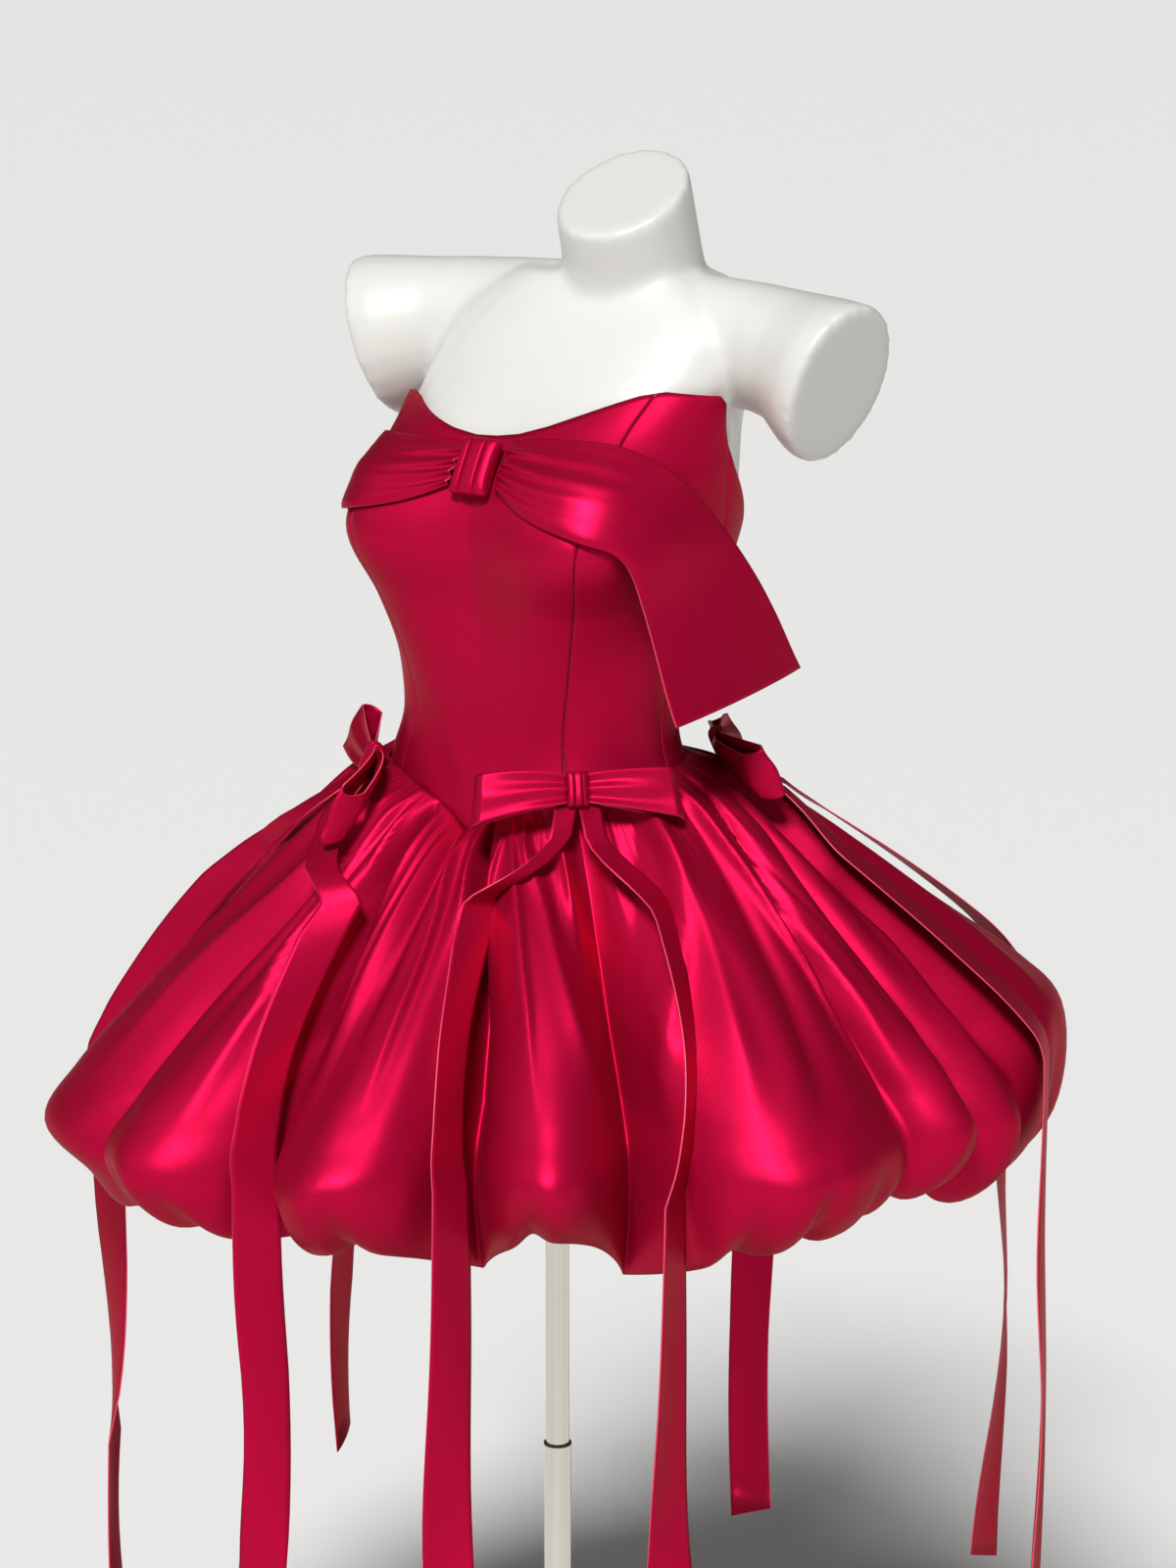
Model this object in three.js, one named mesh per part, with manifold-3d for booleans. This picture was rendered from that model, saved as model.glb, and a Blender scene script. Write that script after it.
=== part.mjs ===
// A strapless satin party dress with a gathered bubble skirt, worn by a limbless dress form on a pole stand.
// Millimetres, +Z up. The wearer faces -Y and the wearer's left is +X.
// The origin is the centre of the stand's underside, on the floor.
import * as THREE from 'three';
import Module from 'manifold-3d';
import { mergeVertices } from 'three/addons/utils/BufferGeometryUtils.js';

const wasm = await Module();
wasm.setup();

// Driving dimensions
const cloth = 2;              // wall of the duchess satin with its backing
const ribbon = 1.4;           // wall of the doubled ribbon in bows and streamers
const seamGap = 0.3;          // left between pieces that are sewn together
const bodiceClear = 1.5;      // from the general figure out to the bodice's inside
const formInset = 3;          // the form is this much slimmer than the general figure
const gripInset = -0.7;       // and this much at the natural waist, where it fills the bodice
const gripHeight = 1085;
const waistDrop = 0.6;        // the skirt's top edge lies this far under the bodice's edge
const streamerWidth = 38;
const loopLength = 70;        // of a waist bow's loop, from knot to fold
const knotSize = { wide: 17, high: 28, deep: 14 };
const bowLean = 24;           // of a waist bow, top towards the wearer
const touchGap = 0.5;         // between ribbons that leave a knot
const poleRadius = { upper: 9.5, lower: 11 };
const poleJoint = 472;        // height of the butt joint between the two tubes
const base = { radius: 165, thick: 7, bossRadius: 21, bossTop: 30 };

const rad = Math.PI / 180;
const { sin, cos, abs, min, max, exp, hypot } = Math;

// The general figure by height: the centre, the half width and the depths in front and behind,
// and how far the two bust cups stand out of that oval.
const figure = [
  { z: 880, x: -3, y: -8, side: 138, front: 84, back: 100, cup: 0 },
  { z: 940, x: -3, y: -10, side: 156, front: 98, back: 114, cup: 0 },
  { z: 1000, x: -5, y: -15, side: 138, front: 97, back: 102, cup: 0 },
  { z: 1050, x: -5, y: -18, side: 116, front: 88, back: 90, cup: 0 },
  { z: 1085, x: -3, y: -19, side: 108, front: 80, back: 85, cup: 0 },
  { z: 1130, x: 0, y: -15, side: 114, front: 86, back: 92, cup: 7 },
  { z: 1180, x: 1, y: -5, side: 128, front: 100, back: 99, cup: 21 },
  { z: 1235, x: 3, y: 5, side: 141, front: 121, back: 106, cup: 36 },
  { z: 1280, x: 3, y: 12, side: 141, front: 116, back: 108, cup: 22 },
  { z: 1315, x: 4, y: 20, side: 138, front: 98, back: 104, cup: 7 },
  { z: 1350, x: 9, y: 34, side: 140, front: 80, back: 92, cup: 0 },
  { z: 1385, x: 17, y: 47, side: 142, front: 66, back: 76, cup: 0 },
  { z: 1410, x: 22, y: 55, side: 116, front: 56, back: 62, cup: 0 },
  { z: 1428, x: 24, y: 57, side: 76, front: 52, back: 55, cup: 0 },
];
const figurePower = 2.25;     // squareness of the oval sections
const cupAngle = 37;          // of each bust point from the centre front
const cupSpread = 22;

// Heights of the bodice's two edges by angle from the centre front, the same on both sides, and how much
// higher than that the top edge sits on the wearer's left than in front.
const neckline = [
  { angle: 0, z: 1312 }, { angle: 10, z: 1313 }, { angle: 22, z: 1318 }, { angle: 39, z: 1328 },
  { angle: 54, z: 1337 }, { angle: 62, z: 1339 }, { angle: 80, z: 1333 }, { angle: 84, z: 1326 },
  { angle: 96, z: 1275 }, { angle: 116, z: 1219 }, { angle: 140, z: 1204 }, { angle: 180, z: 1199 },
];
const necklineTilt = 10;
const waistline = [
  { angle: 0, z: 1009 }, { angle: 9, z: 1021 }, { angle: 25, z: 1034 }, { angle: 46, z: 1043 },
  { angle: 90, z: 1053 }, { angle: 130, z: 1052 }, { angle: 180, z: 1046 },
];
// Angle of the princess seam by share of the way up the bodice.
const princessSeam = [
  { up: 0, angle: 46 }, { up: 0.25, angle: 44 }, { up: 0.5, angle: 40 }, { up: 0.7, angle: 37.5 },
  { up: 0.85, angle: 46 }, { up: 1, angle: 59 },
];
const sideSeamAngle = 92;
const backSeamAngle = 138;

// The skirt's lobes in order round the hem. to is the angle of the valley that ends a lobe, reach its radius,
// tip how far the widest point lies under the waist and hem how far the lowest does. slant is the share of the
// hem's tuck that is reached halfway down from the tip. valley is the radius in the valley that ends the lobe,
// as a share of the reach, and dip how much lower the hem hangs there.
const firstValley = -66;
const lobes = [
  { to: -36, reach: 406, tip: 284, hem: 338, slant: 0.5, valley: 0.93, dip: 0 },
  { to: -11, reach: 392, tip: 264, hem: 314, slant: 0.3, valley: 0.7, dip: 10 },
  { to: 21, reach: 376, tip: 228, hem: 284, slant: 0.25, valley: 0.7, dip: 44 },
  { to: 46, reach: 366, tip: 232, hem: 286, slant: 0.25, valley: 0.7, dip: 46 },
  { to: 85, reach: 390, tip: 250, hem: 310, slant: 0.25, valley: 0.88, dip: -14 },
  { to: 97, reach: 378, tip: 256, hem: 314, slant: 0.25, valley: 0.9, dip: -4 },
  { to: 108, reach: 384, tip: 264, hem: 334, slant: 0.25, valley: 0.93, dip: -16 },
  { to: 149, reach: 404, tip: 216, hem: 342, slant: 0.14, valley: 0.93, dip: 0 },
  { to: 174, reach: 390, tip: 255, hem: 330, slant: 0.25, valley: 0.78, dip: 20 },
  { to: 198, reach: 382, tip: 250, hem: 322, slant: 0.25, valley: 0.76, dip: 24 },
  { to: 221, reach: 394, tip: 252, hem: 326, slant: 0.25, valley: 0.78, dip: 20 },
  { to: 246, reach: 386, tip: 256, hem: 320, slant: 0.25, valley: 0.76, dip: 24 },
  { to: 270, reach: 398, tip: 262, hem: 328, slant: 0.25, valley: 0.8, dip: 16 },
  { to: 294, reach: 394, tip: 272, hem: 334, slant: 0.3, valley: 0.84, dip: 8 },
];
const crownPower = 0.45;      // the lower, the broader the lobes' crowns and the narrower the valleys
// Where folds that start at one angle at the waist come down to at the hem.
const leans = [
  { waist: -66, hem: -66 }, { waist: -27, hem: -36 }, { waist: -17, hem: -11 }, { waist: 15, hem: 21 },
  { waist: 31, hem: 43 }, { waist: 63, hem: 49 }, { waist: 95, hem: 85 }, { waist: 104, hem: 97 },
  { waist: 110, hem: 108 }, { waist: 149, hem: 149 }, { waist: 294, hem: 294 },
];
const leanOver = { from: 0.12, to: 0.4 }; // where along a fold the change of angle starts and stops
// Smaller gathers that run down from the waist and die out: angle, width in degrees, height, and reach
// as a share of the way to the hem.
const gathers = [
  { angle: -50, width: 3.4, height: 9, ends: 0.8 }, { angle: -26, width: 3.2, height: 11, ends: 0.9 },
  { angle: -2, width: 2.6, height: 8, ends: 0.7 }, { angle: 5, width: 2.2, height: 10, ends: 0.85 },
  { angle: 12, width: 2.2, height: 10, ends: 0.8 }, { angle: 18.5, width: 2.2, height: 9, ends: 0.6 },
  { angle: 40, width: 3, height: 9, ends: 0.5 }, { angle: 53, width: 3, height: 9, ends: 0.7 },
  { angle: 68, width: 3.4, height: 12, ends: 0.9 }, { angle: 122, width: 3.4, height: 9, ends: 0.6 },
  { angle: 139, width: 3.4, height: 9, ends: 0.7 }, { angle: 168, width: 3.2, height: 9, ends: 0.7 },
  { angle: 206, width: 3.2, height: 9, ends: 0.8 }, { angle: 242, width: 3.2, height: 10, ends: 0.8 },
  { angle: 254, width: 3.2, height: 9, ends: 0.7 }, { angle: 268, width: 3.2, height: 9, ends: 0.7 },
  { angle: 300, width: 3, height: 9, ends: 0.6 },
];
// A lobe's profile as shares of the way out to its reach and down to its tip, from the waist to the tip.
const lobeTop = [
  { out: 0, down: 0 }, { out: 0.1, down: 0.055 }, { out: 0.27, down: 0.205 }, { out: 0.5, down: 0.43 },
  { out: 0.73, down: 0.665 }, { out: 0.91, down: 0.86 }, { out: 1, down: 1 },
];
const hemTuck = { in: 52, underIn: 40, underUp: 34, endIn: 56, endUp: 78, valley: 0.4 };

// The bust bow's wing by share of the way from knot to cut end: the angle, height and distance off the
// bodice of its upper and its lower edge.
const wing = [
  { along: 0, upAngle: 9.6, upZ: 1309, upOff: 3.3, lowAngle: 9.6, lowZ: 1277, lowOff: 4.4 },
  { along: 0.16, upAngle: 27, upZ: 1311, upOff: 4.1, lowAngle: 21, lowZ: 1263, lowOff: 4.4 },
  { along: 0.34, upAngle: 50, upZ: 1306, upOff: 5.7, lowAngle: 37, lowZ: 1249, lowOff: 5.4 },
  { along: 0.5, upAngle: 68, upZ: 1282, upOff: 7, lowAngle: 48, lowZ: 1236, lowOff: 11 },
  { along: 0.68, upAngle: 86, upZ: 1234, upOff: 18, lowAngle: 55.5, lowZ: 1199, lowOff: 32 },
  { along: 0.84, upAngle: 98, upZ: 1187, upOff: 47, lowAngle: 61.5, lowZ: 1155, lowOff: 56 },
  { along: 1, upAngle: 108, upZ: 1131, upOff: 86, lowAngle: 66, lowZ: 1109, lowOff: 82 },
];
const wingPleats = { count: 2, depth: 3.5, fade: 0.62 };
const bustKnot = { wide: 34, high: 46, deep: 15, z: 1292, off: 11, lean: 30 };
// The wings as lengths of that table: the right one is shorter, turns further round and lies closer.
const wingOf = { left: { length: 1, turn: 1, off: 1 }, right: { length: 0.72, turn: 1.35, off: 0.85 } };
const wingBulge = 6;          // the cut end's curve, out of the line between its corners
const wingFlat = { from: 0.46, to: 0.74 }; // where along it the band leaves the bodice's curve for a plane

// The waist bows by angle and height, each with the gap that its corners keep to the cloth. A loop bends away
// from the wearer and droops, in degrees. top is a streamer's angle just under the bow and hangs the angle
// where it leaves the skirt, edge how far it turns edge-on in between, face its turn at the cut end, in
// degrees, and end the height of that end.
const bows = [
  { name: 'right_front', angle: -45, z: 1049, gap: 0.3,
    loops: [{ bend: 24, droop: 34 }, { bend: 6, droop: -10 }],
    streamers: [
      { top: -60, hangs: -66, edge: 70, face: 0, end: 300 }, { top: -17, hangs: -11, edge: 75, face: 40, end: 310 },
    ] },
  { name: 'left_front', angle: 40.5, z: 1054, gap: -0.4,
    loops: [{ bend: 0, droop: 0 }, { bend: 0, droop: 2 }],
    streamers: [
      { top: 16, hangs: 20, edge: 70, face: 0, end: 295 }, { top: 58, hangs: 49, edge: 60, face: 0, end: 305 },
    ] },
  { name: 'left_back', angle: 122, z: 1056, gap: -2,
    loops: [{ bend: 6, droop: 8 }, { bend: 34, droop: 14 }],
    streamers: [
      { top: 112, hangs: 111, edge: 3, face: 0, end: 320 }, { top: 136, hangs: 146, edge: 10, face: -60, end: 310 },
    ] },
  { name: 'right_back', angle: 230, z: 1050, gap: -4,
    loops: [{ bend: 4, droop: 12 }, { bend: 4, droop: 8 }],
    streamers: [
      { top: 214, hangs: 188, edge: 20, face: 0, end: 266 }, { top: 241, hangs: 246, edge: 20, face: 45, end: 361 },
    ] },
];

// Cubic interpolation of one column of a table, by the table's key column.
function lookUp(table, key, column, at) {
  const last = table.length - 1;
  if (at <= table[0][key]) return table[0][column];
  if (at >= table[last][key]) return table[last][column];
  const i = table.findIndex((row) => row[key] > at) - 1;
  const slope = (a, b) => (table[b][column] - table[a][column]) / (table[b][key] - table[a][key]);
  const span = table[i + 1][key] - table[i][key];
  const t = (at - table[i][key]) / span;
  const m0 = slope(max(i - 1, 0), i + 1) * span;
  const m1 = slope(i, min(i + 2, last)) * span;
  const a = table[i][column];
  const b = table[i + 1][column];
  return a + t * m0 + t * t * (3 * (b - a) - 2 * m0 - m1) + t * t * t * (2 * (a - b) + m0 + m1);
}

// Linear interpolation of the same kind, for edges that turn sharply.
function lookUpStraight(table, key, column, at) {
  const last = table.length - 1;
  if (at <= table[0][key]) return table[0][column];
  if (at >= table[last][key]) return table[last][column];
  const i = table.findIndex((row) => row[key] > at) - 1;
  const t = (at - table[i][key]) / (table[i + 1][key] - table[i][key]);
  return table[i][column] + t * (table[i + 1][column] - table[i][column]);
}

// The smallest turn from one angle to another, in degrees.
const turn = (from, to) => ((((to - from) % 360) + 540) % 360) - 180;

// Radius of the general figure at an angle from the centre front and a height.
function figureRadius(angle, z) {
  const row = (column) => lookUp(figure, 'z', column, z);
  const s = abs(sin(angle * rad)) / row('side');
  const c = cos(angle * rad);
  const d = abs(c) / row(c > 0 ? 'front' : 'back');
  const oval = (s ** figurePower + d ** figurePower) ** (-1 / figurePower);
  const off = (abs(turn(0, angle)) - cupAngle) / cupSpread;
  return oval + row('cup') * exp(-off * off);
}

// A point at a radius off the figure's centre at that height.
function figurePoint(angle, z, radius) {
  const x = lookUp(figure, 'z', 'x', z) + radius * sin(angle * rad);
  const y = lookUp(figure, 'z', 'y', z) - radius * cos(angle * rad);
  return new THREE.Vector3(x, y, z);
}

// A closed solid from a grid of outer points and a grid of inner points, both [row][column], with rims
// round the open edges. A ring joins its last column to its first.
function wall(outer, inner, ring = false) {
  const rows = outer.length;
  const cols = outer[0].length;
  const positions = [...outer.flat(), ...inner.flat()].flatMap((p) => [p.x, p.y, p.z]);
  const index = [];
  const at = (side, i, j) => side * rows * cols + i * cols + (j % cols);
  const quad = (a, b, c, d) => index.push(a, b, c, a, c, d);
  const steps = ring ? cols : cols - 1;
  for (let i = 0; i < rows - 1; i++) {
    for (let j = 0; j < steps; j++) {
      quad(at(0, i, j), at(0, i, j + 1), at(0, i + 1, j + 1), at(0, i + 1, j));
      quad(at(1, i, j), at(1, i + 1, j), at(1, i + 1, j + 1), at(1, i, j + 1));
    }
    if (!ring) {
      quad(at(0, i, 0), at(0, i + 1, 0), at(1, i + 1, 0), at(1, i, 0));
      quad(at(0, i, cols - 1), at(1, i, cols - 1), at(1, i + 1, cols - 1), at(0, i + 1, cols - 1));
    }
  }
  for (let j = 0; j < steps; j++) {
    quad(at(0, 0, j), at(1, 0, j), at(1, 0, j + 1), at(0, 0, j + 1));
    quad(at(0, rows - 1, j), at(0, rows - 1, j + 1), at(1, rows - 1, j + 1), at(1, rows - 1, j));
  }
  const geometry = new THREE.BufferGeometry();
  geometry.setAttribute('position', new THREE.Float32BufferAttribute(positions, 3));
  geometry.setIndex(index);
  return geometry;
}

// A grid of points from a function of the shares across and up.
function grid(cols, rows, place) {
  const line = (i) => Array.from({ length: cols + 1 }, (_, j) => place(j / cols, i / rows));
  return Array.from({ length: rows + 1 }, (_, i) => line(i));
}

// The same grid moved along its own normals, outwards for a positive distance.
function offset(points, distance, ring = false) {
  const rows = points.length;
  const cols = points[0].length;
  const side = (j) => (ring ? (j + cols) % cols : min(max(j, 0), cols - 1));
  return points.map((line, i) => line.map((p, j) => {
    const across = line[side(j + 1)].clone().sub(line[side(j - 1)]);
    const up = points[min(i + 1, rows - 1)][j].clone().sub(points[max(i - 1, 0)][j]);
    return p.clone().addScaledVector(across.cross(up).normalize(), distance);
  }));
}

// Bodice

const bodiceRows = 12;
const tilt = (angle) => necklineTilt * sin(angle * rad);
const topEdge = (angle) => lookUpStraight(neckline, 'angle', 'z', abs(turn(0, angle))) + tilt(angle);
const lowEdge = (angle) => lookUpStraight(waistline, 'angle', 'z', abs(turn(0, angle)));

// The bodice is closest to the form at the natural waist.
function bodicePoint(angle, z, off) {
  return figurePoint(angle, z, figureRadius(angle, z) + bodiceClear + off);
}

// A panel between two seams, each an angle as a function of the share up the bodice.
function panel(from, to, cols) {
  const halfGap = (angle, z) => seamGap / 2 / figureRadius(angle, z) / rad;
  const place = (off) => (u, v) => {
    const a = from(v);
    const b = to(v);
    const level = (angle) => lowEdge(angle) + (topEdge(angle) - lowEdge(angle)) * v;
    const a1 = a + halfGap(a, level(a));
    const b1 = b - halfGap(b, level(b));
    const angle = a1 + (b1 - a1) * u;
    return bodicePoint(angle, level(angle), off);
  };
  return wall(grid(cols, bodiceRows, place(cloth)), grid(cols, bodiceRows, place(0)));
}

const princess = (v) => lookUp(princessSeam, 'up', 'angle', v);
const sideSeam = () => sideSeamAngle;
const backSeam = () => backSeamAngle;
const mirror = (seam) => (v) => -seam(v);
const centreBack = () => 180;

const panels = [
  { name: 'bodice_front', from: mirror(princess), to: princess, cols: 12 },
  { name: 'bodice_side_front_left', from: princess, to: sideSeam, cols: 7 },
  { name: 'bodice_side_front_right', from: mirror(sideSeam), to: mirror(princess), cols: 7 },
  { name: 'bodice_side_back_left', from: sideSeam, to: backSeam, cols: 6 },
  { name: 'bodice_side_back_right', from: mirror(backSeam), to: mirror(sideSeam), cols: 6 },
  { name: 'bodice_back_left', from: backSeam, to: centreBack, cols: 5 },
  { name: 'bodice_back_right', from: mirror(centreBack), to: mirror(backSeam), cols: 5 },
];

// Skirt

const skirtCols = 120;
const skirtLevels = [0, 0.06, 0.13, 0.2, 0.3, 0.4, 0.5, 0.55, 0.6, 0.65, 0.7, 0.75, 0.8, 0.9, 1];
const skirtRows = skirtLevels.length - 1;

const fromFirst = (angle) => ((((angle - firstValley) % 360) + 360) % 360) + firstValley;

// The angle at the hem of the fold that passes an angle at a share of the way down.
function hemAngle(angle, along) {
  const t = min(1, max(0, (along - leanOver.from) / (leanOver.to - leanOver.from)));
  const share = t * t * (3 - 2 * t);
  const level = leans.map(({ waist, hem }) => ({ at: waist + (hem - waist) * share, hem }));
  return lookUpStraight(level, 'at', 'hem', fromFirst(angle));
}

// The lobe that an angle at the hem falls in, and the angle's place in it, from -1 to 1.
function lobeAt(angle) {
  const at = fromFirst(angle);
  const i = lobes.findIndex((lobe) => at <= lobe.to);
  const from = i ? lobes[i - 1].to : firstValley;
  return { i, across: (2 * (at - from)) / (lobes[i].to - from) - 1 };
}

// A column of the lobes' table, blended into the next lobe's near the valley between them.
function lobeColumn(column, angle) {
  const { i, across } = lobeAt(angle);
  const next = lobes[(i + (across > 0 ? 1 : -1) + lobes.length) % lobes.length];
  const share = 0.5 * abs(across) ** 3;
  return lobes[i][column] * (1 - share) + next[column] * share;
}

// A column that belongs to the valley nearest to an angle.
function valleyColumn(column, angle) {
  const { i, across } = lobeAt(angle);
  return lobes[(i + (across > 0 ? 0 : -1) + lobes.length) % lobes.length][column];
}

// How full a lobe is at an angle: 1 on its crown and 0 in the valley.
function fullness(angle) {
  return (0.5 + 0.5 * cos(Math.PI * lobeAt(angle).across)) ** crownPower;
}

// The skirt's profile at an angle, as a smooth curve of radius and drop under the waist, in the fold that
// reaches the hem at another angle.
function skirtProfile(angle, low) {
  const full = fullness(low);
  const waistRadius = figureRadius(angle, lowEdge(angle)) + bodiceClear + cloth;
  const reach = lobeColumn('reach', low) * (1 - (1 - valleyColumn('valley', low)) * (1 - full));
  const tip = lobeColumn('tip', low);
  const hem = lobeColumn('hem', low) + valleyColumn('dip', low) * (1 - full);
  const slant = lobeColumn('slant', low);
  const points = lobeTop.map((row) => [waistRadius + (reach - waistRadius) * row.out, tip * row.down]);
  const tuck = hemTuck.valley + (1 - hemTuck.valley) * full;
  const hemRadius = reach - hemTuck.in * tuck;
  points.push([reach - hemTuck.in * tuck * slant, tip + (hem - tip) * (0.74 - 0.48 * slant)]);
  points.push([hemRadius, hem]);
  points.push([hemRadius - hemTuck.underIn * tuck, hem - hemTuck.underUp]);
  points.push([hemRadius - hemTuck.endIn * tuck, hem - hemTuck.endUp]);
  return new THREE.CatmullRomCurve3(points.map(([r, drop]) => new THREE.Vector3(r, drop, 0)), false, 'centripetal');
}

// Height that the smaller gathers add, at an angle and a share of the way from waist to hem.
function gatherHeight(angle, along) {
  const one = ({ angle: middle, width, height, ends }) => {
    const off = turn(middle, angle) / width;
    const fade = max(0, 1 - along / ends);
    return height * exp(-off * off) * min(1, 0.25 + along * 6) * fade;
  };
  return gathers.reduce((sum, gather) => sum + one(gather), 0);
}

function skirtPoint(angle, along) {
  const p = skirtProfile(angle, hemAngle(angle, along)).getPoint(along);
  const radius = p.x + gatherHeight(angle, along / 0.8);
  const z = lowEdge(angle) - waistDrop - p.y;
  const centre = max(0, 1 - along * 2);
  const x = lookUp(figure, 'z', 'x', lowEdge(angle)) * centre + radius * sin(angle * rad);
  const y = lookUp(figure, 'z', 'y', lowEdge(angle)) * centre - radius * cos(angle * rad);
  return new THREE.Vector3(x, y, z);
}

function skirtLine(along) {
  return Array.from({ length: skirtCols }, (_, j) => skirtPoint((360 * j) / skirtCols, along));
}
const skirtOuter = skirtLevels.map(skirtLine).reverse();
const skirtInner = offset(skirtOuter, -cloth, true);

// The skirt's panels, from seam to seam, as angles.
const skirtPanels = [
  { name: 'skirt_front', from: -93, to: 93 },
  { name: 'skirt_back_left', from: 93, to: 180 },
  { name: 'skirt_back_right', from: 180, to: 267 },
];

// The columns of one panel of the skirt, with half a seam's gap left at both sides.
function skirtStretch(points, { from, to }) {
  const step = 360 / skirtCols;
  const first = Math.round(from / step);
  const last = Math.round(to / step);
  const shift = (j) => (j === first ? seamGap / 2 : 0) - (j === last ? seamGap / 2 : 0);
  return points.map((line) => Array.from({ length: last - first + 1 }, (_, k) => {
    const j = first + k;
    const along = new THREE.Vector3(cos(j * step * rad), sin(j * step * rad), 0);
    return line[(j + skirtCols) % skirtCols].clone().addScaledVector(along, shift(j));
  }));
}

// Greatest radius of the skirt's outside at a height, in one column of its grid.
function columnRadius(j, z) {
  let radius = 0;
  for (let i = 0; i < skirtRows; i++) {
    const a = skirtOuter[i][j];
    const b = skirtOuter[i + 1][j];
    if ((a.z - z) * (b.z - z) > 0 || a.z === b.z) continue;
    const t = (z - a.z) / (b.z - a.z);
    const here = hypot(a.x + t * (b.x - a.x), a.y + t * (b.y - a.y));
    radius = max(radius, here);
  }
  return radius;
}

// The same at any angle, between two columns.
function surfaceRadius(angle, z) {
  const column = ((angle + 720) % 360) / (360 / skirtCols);
  const j = Math.floor(column);
  const near = columnRadius(j % skirtCols, z);
  const far = columnRadius((j + 1) % skirtCols, z);
  return near + (far - near) * (column - j);
}

// The greatest over a stretch of angles.
function skirtRadius(angle, spread, z) {
  const step = 360 / skirtCols;
  const from = Math.floor((angle - spread) / step);
  const to = Math.ceil((angle + spread) / step);
  const radii = [];
  for (let j = from; j <= to; j++) radii.push(columnRadius((j + 2 * skirtCols) % skirtCols, z));
  return max(...radii);
}

// Bust bow

// One wing of the bust bow, a draped band that leaves the bodice and ends in a straight cut. side is 1 for
// the wearer's left and -1 for the right.
function wingSolid(side) {
  const shape = side > 0 ? wingOf.left : wingOf.right;
  const place = (share, v) => {
    const u = share * shape.length;
    const col = (name) => lookUp(wing, 'along', name, u);
    const round = side * (1 + (shape.turn - 1) * share);
    const nearer = 1 + (shape.off - 1) * share;
    const spot = (t, more) => {
      const angle = round * (col('lowAngle') + (col('upAngle') - col('lowAngle')) * t);
      const z = col('lowZ') + (col('upZ') - col('lowZ')) * t + tilt(angle) * t * (1 - u);
      const stand = (col('lowOff') + (col('upOff') - col('lowOff')) * t) * nearer;
      return bodicePoint(angle, z, cloth + stand + more);
    };
    const wave = 1 - cos(wingPleats.count * 2 * Math.PI * v);
    const pleat = wingPleats.depth * wave * max(0, 1 - u / wingPleats.fade);
    const curved = spot(v, wingBulge * u * 4 * v * (1 - v) + pleat);
    const flat = spot(0, 0).lerp(spot(1, 0), v).lerp(curved, 0.12);
    const t = min(1, max(0, (u - wingFlat.from) / (wingFlat.to - wingFlat.from)));
    return curved.lerp(flat, t * t * (3 - 2 * t));
  };
  const front = grid(14, 8, (u, v) => place(side > 0 ? u : 1 - u, v));
  return wall(front, offset(front, -cloth));
}

// A soft knot: a rounded block, squared off by a power, that faces outwards at an angle and leans back.
function knot(angle, lean, centre, size) {
  const geometry = new THREE.SphereGeometry(1, 12, 8);
  geometry.deleteAttribute('normal');
  geometry.deleteAttribute('uv');
  const merged = mergeVertices(geometry, 1e-4);
  const square = (value) => Math.sign(value) * abs(value) ** 0.45;
  const p = merged.attributes.position;
  for (let i = 0; i < p.count; i++) {
    const x = square(p.getX(i)) * size.wide / 2;
    const y = square(p.getY(i)) * size.deep / 2;
    const z = square(p.getZ(i)) * size.high / 2;
    p.setXYZ(i, x, y, z);
  }
  merged.rotateX(-lean * rad);
  merged.rotateZ(angle * rad);
  merged.translate(centre.x, centre.y, centre.z);
  return merged;
}

// Waist bows

// A frame on a bow at a radius: its middle, and the directions along the bow, outwards and up.
function bowFrame(bow, radius) {
  const level = new THREE.Vector3(sin(bow.angle * rad), -cos(bow.angle * rad), 0);
  const along = new THREE.Vector3(cos(bow.angle * rad), sin(bow.angle * rad), 0);
  const rise = new THREE.Vector3(0, 0, 1);
  const out = level.clone().multiplyScalar(cos(bowLean * rad)).addScaledVector(rise, sin(bowLean * rad));
  const up = rise.clone().multiplyScalar(cos(bowLean * rad)).addScaledVector(level, -sin(bowLean * rad));
  return { centre: level.multiplyScalar(radius).setZ(bow.z), along, out, up };
}

// The sheet of one loop of a bow: a ribbon that runs out from the knot, folds over and comes back.
function loopSheet(bow, { centre, along, out, up }, side, detail = 1) {
  const { bend, droop } = bow.loops[side > 0 ? 0 : 1];
  const start = knotSize.wide / 2 + seamGap + 0.2;
  const path = (u) => {
    const t = u * 2 - 1;
    const far = 1 - abs(t) ** 2.2;
    const puff = 2.2 + 6.5 * sin(Math.PI * min(1, (1 - abs(t)) * 1.15) * 0.5);
    return { far, off: Math.sign(t) * puff * min(1, abs(t) * 3.2) };
  };
  const place = (u, v) => {
    const { far, off } = path(u);
    const half = 11.5 + 8 * far;
    const run = loopLength * far + 5 * far * (0.5 - v);
    const reach = start + run * (1 - far + far * cos(droop * rad) * cos(bend * rad));
    const away = off - 9 * far * far + run * far * sin(bend * rad);
    const p = centre.clone().addScaledVector(along, side * reach).addScaledVector(out, away);
    return p.addScaledVector(up, (v - 0.5) * 2 * half - 5 * far * far - run * far * sin(droop * rad));
  };
  return grid(12 * detail, 2 * detail, (u, v) => place(side > 0 ? 1 - u : u, v));
}

function bowLoop(bow, frame, side) {
  const sheet = loopSheet(bow, frame, side);
  return wall(sheet, offset(sheet, -ribbon));
}

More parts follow.
